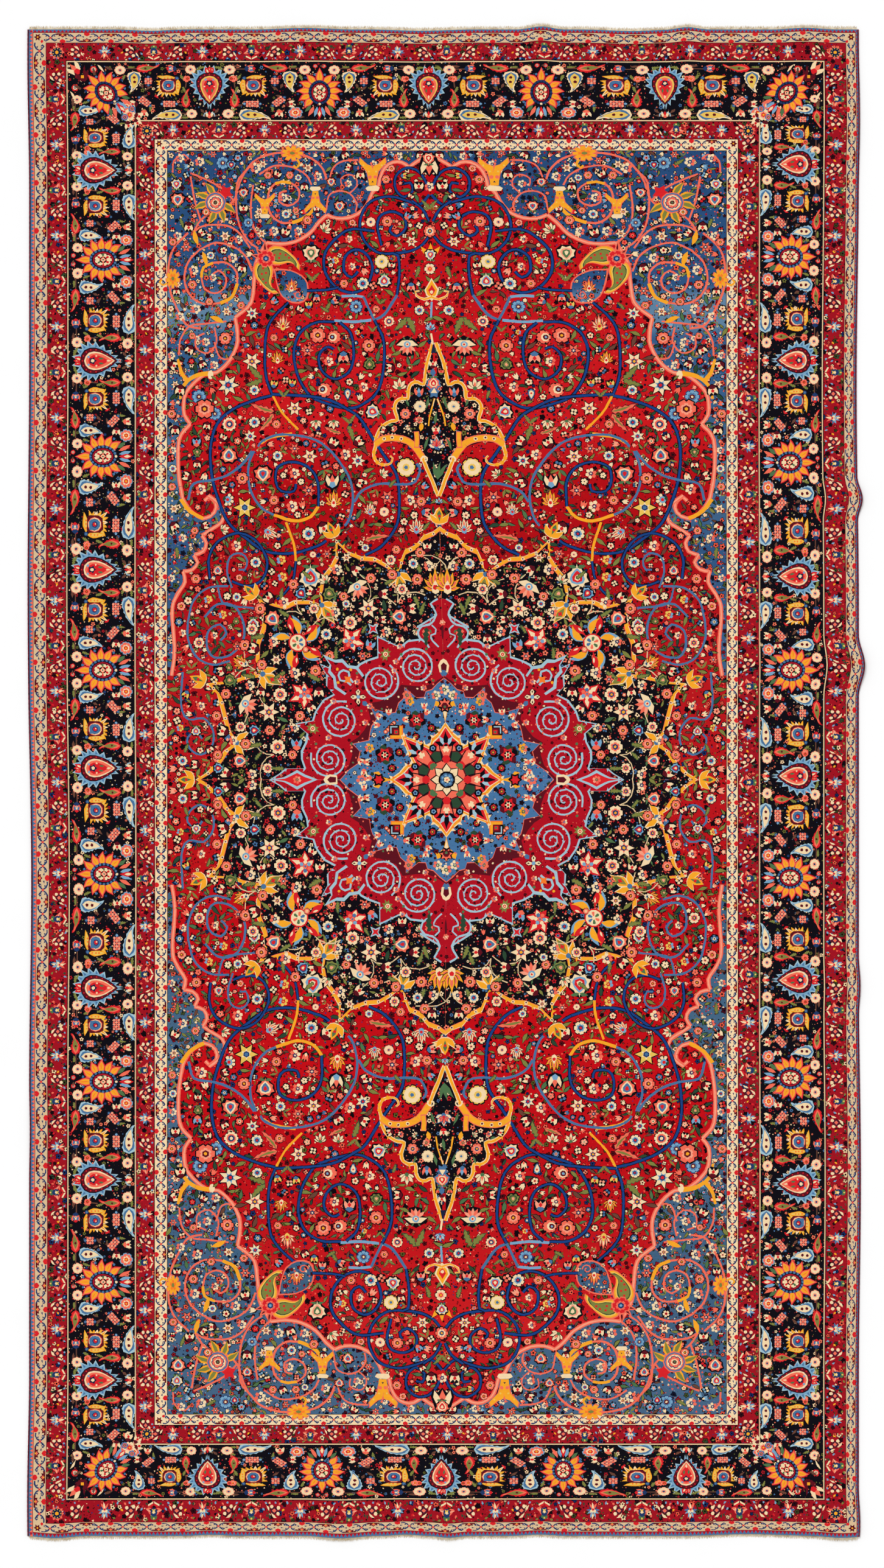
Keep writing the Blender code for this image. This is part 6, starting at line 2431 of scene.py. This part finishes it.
def buildFringe(name, side, start, stop, material):
    way = outward[side][1]
    dice = random.Random(fringe["seed"] + way)
    points, faces = [], []

    def at(u, depth, height):
        x, y, z = placed(u, way * rug["length"] / 2).tolist()
        return (x, y + way * (rug["seam"] + depth), z + height)

    count = round((stop - start) / fringe["weaveStep"])
    height, foot = fringe["weaveHeight"], fringe["foot"]
    for k in range(count + 1):
        u = start + (stop - start) * k / count
        depth = fringe["weaveDepth"] + fringe["weaveUneven"] * math.sin(k * 1.9)
        points += [at(u, 0, foot), at(u, 0, height), at(u, depth, height * 0.7), at(u, depth, foot)]
    for k in range(count):
        for i in range(4):
            a, b = 4 * k + i, 4 * k + (i + 1) % 4
            faces.append([a, a + 4, b + 4, b])
    faces += [[0, 1, 2, 3], [4 * count + i for i in (3, 2, 1, 0)]]
    u = start + fringe["pitch"] / 2
    while u < stop - fringe["pitch"] / 2:
        for lean in (-1, 1):
            drift = dice.uniform(-1, 1) * fringe["drift"] + lean * fringe["lean"]
            reach = fringe["length"] + dice.uniform(-1, 0.4) * fringe["unevenness"]
            strand(points, faces, at, u + lean * fringe["apart"], drift, reach, dice)
        u += fringe["pitch"] * dice.uniform(0.85, 1.15)
    if way > 0:
        faces = [face[::-1] for face in faces]
    return newPiece(name, points, faces, material)


def strand(points, faces, at, u, drift, reach, dice):
    base = len(points)
    lift = dice.uniform(*fringe["lift"])
    for share, thin in ((0.0, 1.0), (0.5, 0.9), (1.0, 0.45)):
        width = fringe["thread"] * thin
        depth = fringe["weaveDepth"] * 0.8 + reach * share
        middle = u + drift * share ** 1.5
        height = lift * (1 - 0.4 * share)
        points += [at(middle + x * width, depth, height + y * width)
                   for x, y in ((-1, -0.5), (1, -0.5), (0, 1))]
    for k in (0, 1):
        for i in range(3):
            a, b = base + 3 * k + i, base + 3 * k + (i + 1) % 3
            faces.append([a, b, b + 3, a + 3])
    faces.append([base + 2, base + 1, base])
    faces.append([base + 6, base + 7, base + 8])


def buildRug():
    pile = buildPile(pileWool()) + [buildGround()]
    for piece in pile:
        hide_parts("pile")
    print("ground woven")
    sewn = []
    wrapped = cordWool()
    step = rug["length"] / cord["lengths"]
    for side in ("left", "right"):
        for k in range(cord["lengths"]):
            start = -rug["length"] / 2 + k * step
            name = f"side_cord_{side}_{cord['lengths'] - k}"
            sewn.append(buildCord(name, side, start, start + step, wrapped))
            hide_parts(f"side_cord_{side}")
    print("side cords wrapped")
    cotton = warpCotton()
    step = rug["width"] / fringe["parts"]
    for side in ("top", "bottom"):
        for k in range(fringe["parts"]):
            start = -rug["width"] / 2 + k * step
            sewn.append(buildFringe(f"end_fringe_{side}_{k + 1}", side, start, start + step, cotton))
            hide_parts(f"end_fringe_{side}")
    print("fringes frayed")
    for piece in pile + sewn:
        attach(piece, "root")
    *knotted, ground = pile
    knotted + sewn


# A wide pale floor, even daylight and one soft sun.
studio = {
    "floorSize": 160.0,
    "floorHeight": -0.0005,
    "floorTints": ((0.97, 0.97, 0.97, 1), (1.0, 1.0, 1.0, 1)),
    "cameraHeight": 30.0,
    "sensor": 36.0,
    "sun": 1.25,
    "sunAngle": 25,
    "sunTurn": (-32, -18, 0),
    "fill": 0.70,
}


def buildFloor():
    half = studio["floorSize"] / 2
    corners = [(x * half, y * half, studio["floorHeight"]) for x, y in ((-1, -1), (1, -1), (1, 1), (-1, 1))]
    mesh = bpy.data.meshes.new("floor")
    mesh.from_pydata(corners, [], [(0, 1, 2, 3)])
    dye = Dye("paleFloor")
    grain = dye.noise(dye.place, 3.0, 2.0)
    colour = dye.mix(*studio["floorTints"], grain)
    mesh.materials.append(dye.finish(colour, 0.9 + 0.05 * grain, dye.bump(grain, 0.01, 0.001), 0.1))
    addObject("floor", mesh)


def lightStudio():
    world = bpy.data.worlds.new("studio")
    bpy.context.scene.world = world
    world.use_nodes = True
    background = world.node_tree.nodes["Background"]
    background.inputs["Color"].default_value = (1, 1, 1, 1)
    background.inputs["Strength"].default_value = studio["fill"]
    sun = bpy.data.lights.new("window", "SUN")
    sun.energy = studio["sun"]
    sun.angle = math.radians(studio["sunAngle"])
    addObject("window", sun).rotation_euler = [math.radians(turn) for turn in studio["sunTurn"]]
    bpy.context.scene.view_settings.view_transform = "Standard"
    print("studio lit")


# The camera stands straight above the photograph's middle and sees as much of the floor as it does.
def aimCamera():
    lens = bpy.data.cameras.new("camera")
    camera = addObject("camera", lens)
    bpy.context.scene.camera = camera
    u, v = onFlat(complex(*photoSize) / 2)
    camera.location = (u - rug["outlineMiddle"][0], v - rug["outlineMiddle"][1], studio["cameraHeight"])
    lens.sensor_width = studio["sensor"]
    lens.lens = studio["sensor"] * studio["cameraHeight"] / (photoSize[1] * rug["knot"])
    lens.clip_end = 200


buildRug()
buildFloor()
lightStudio()
aimCamera()
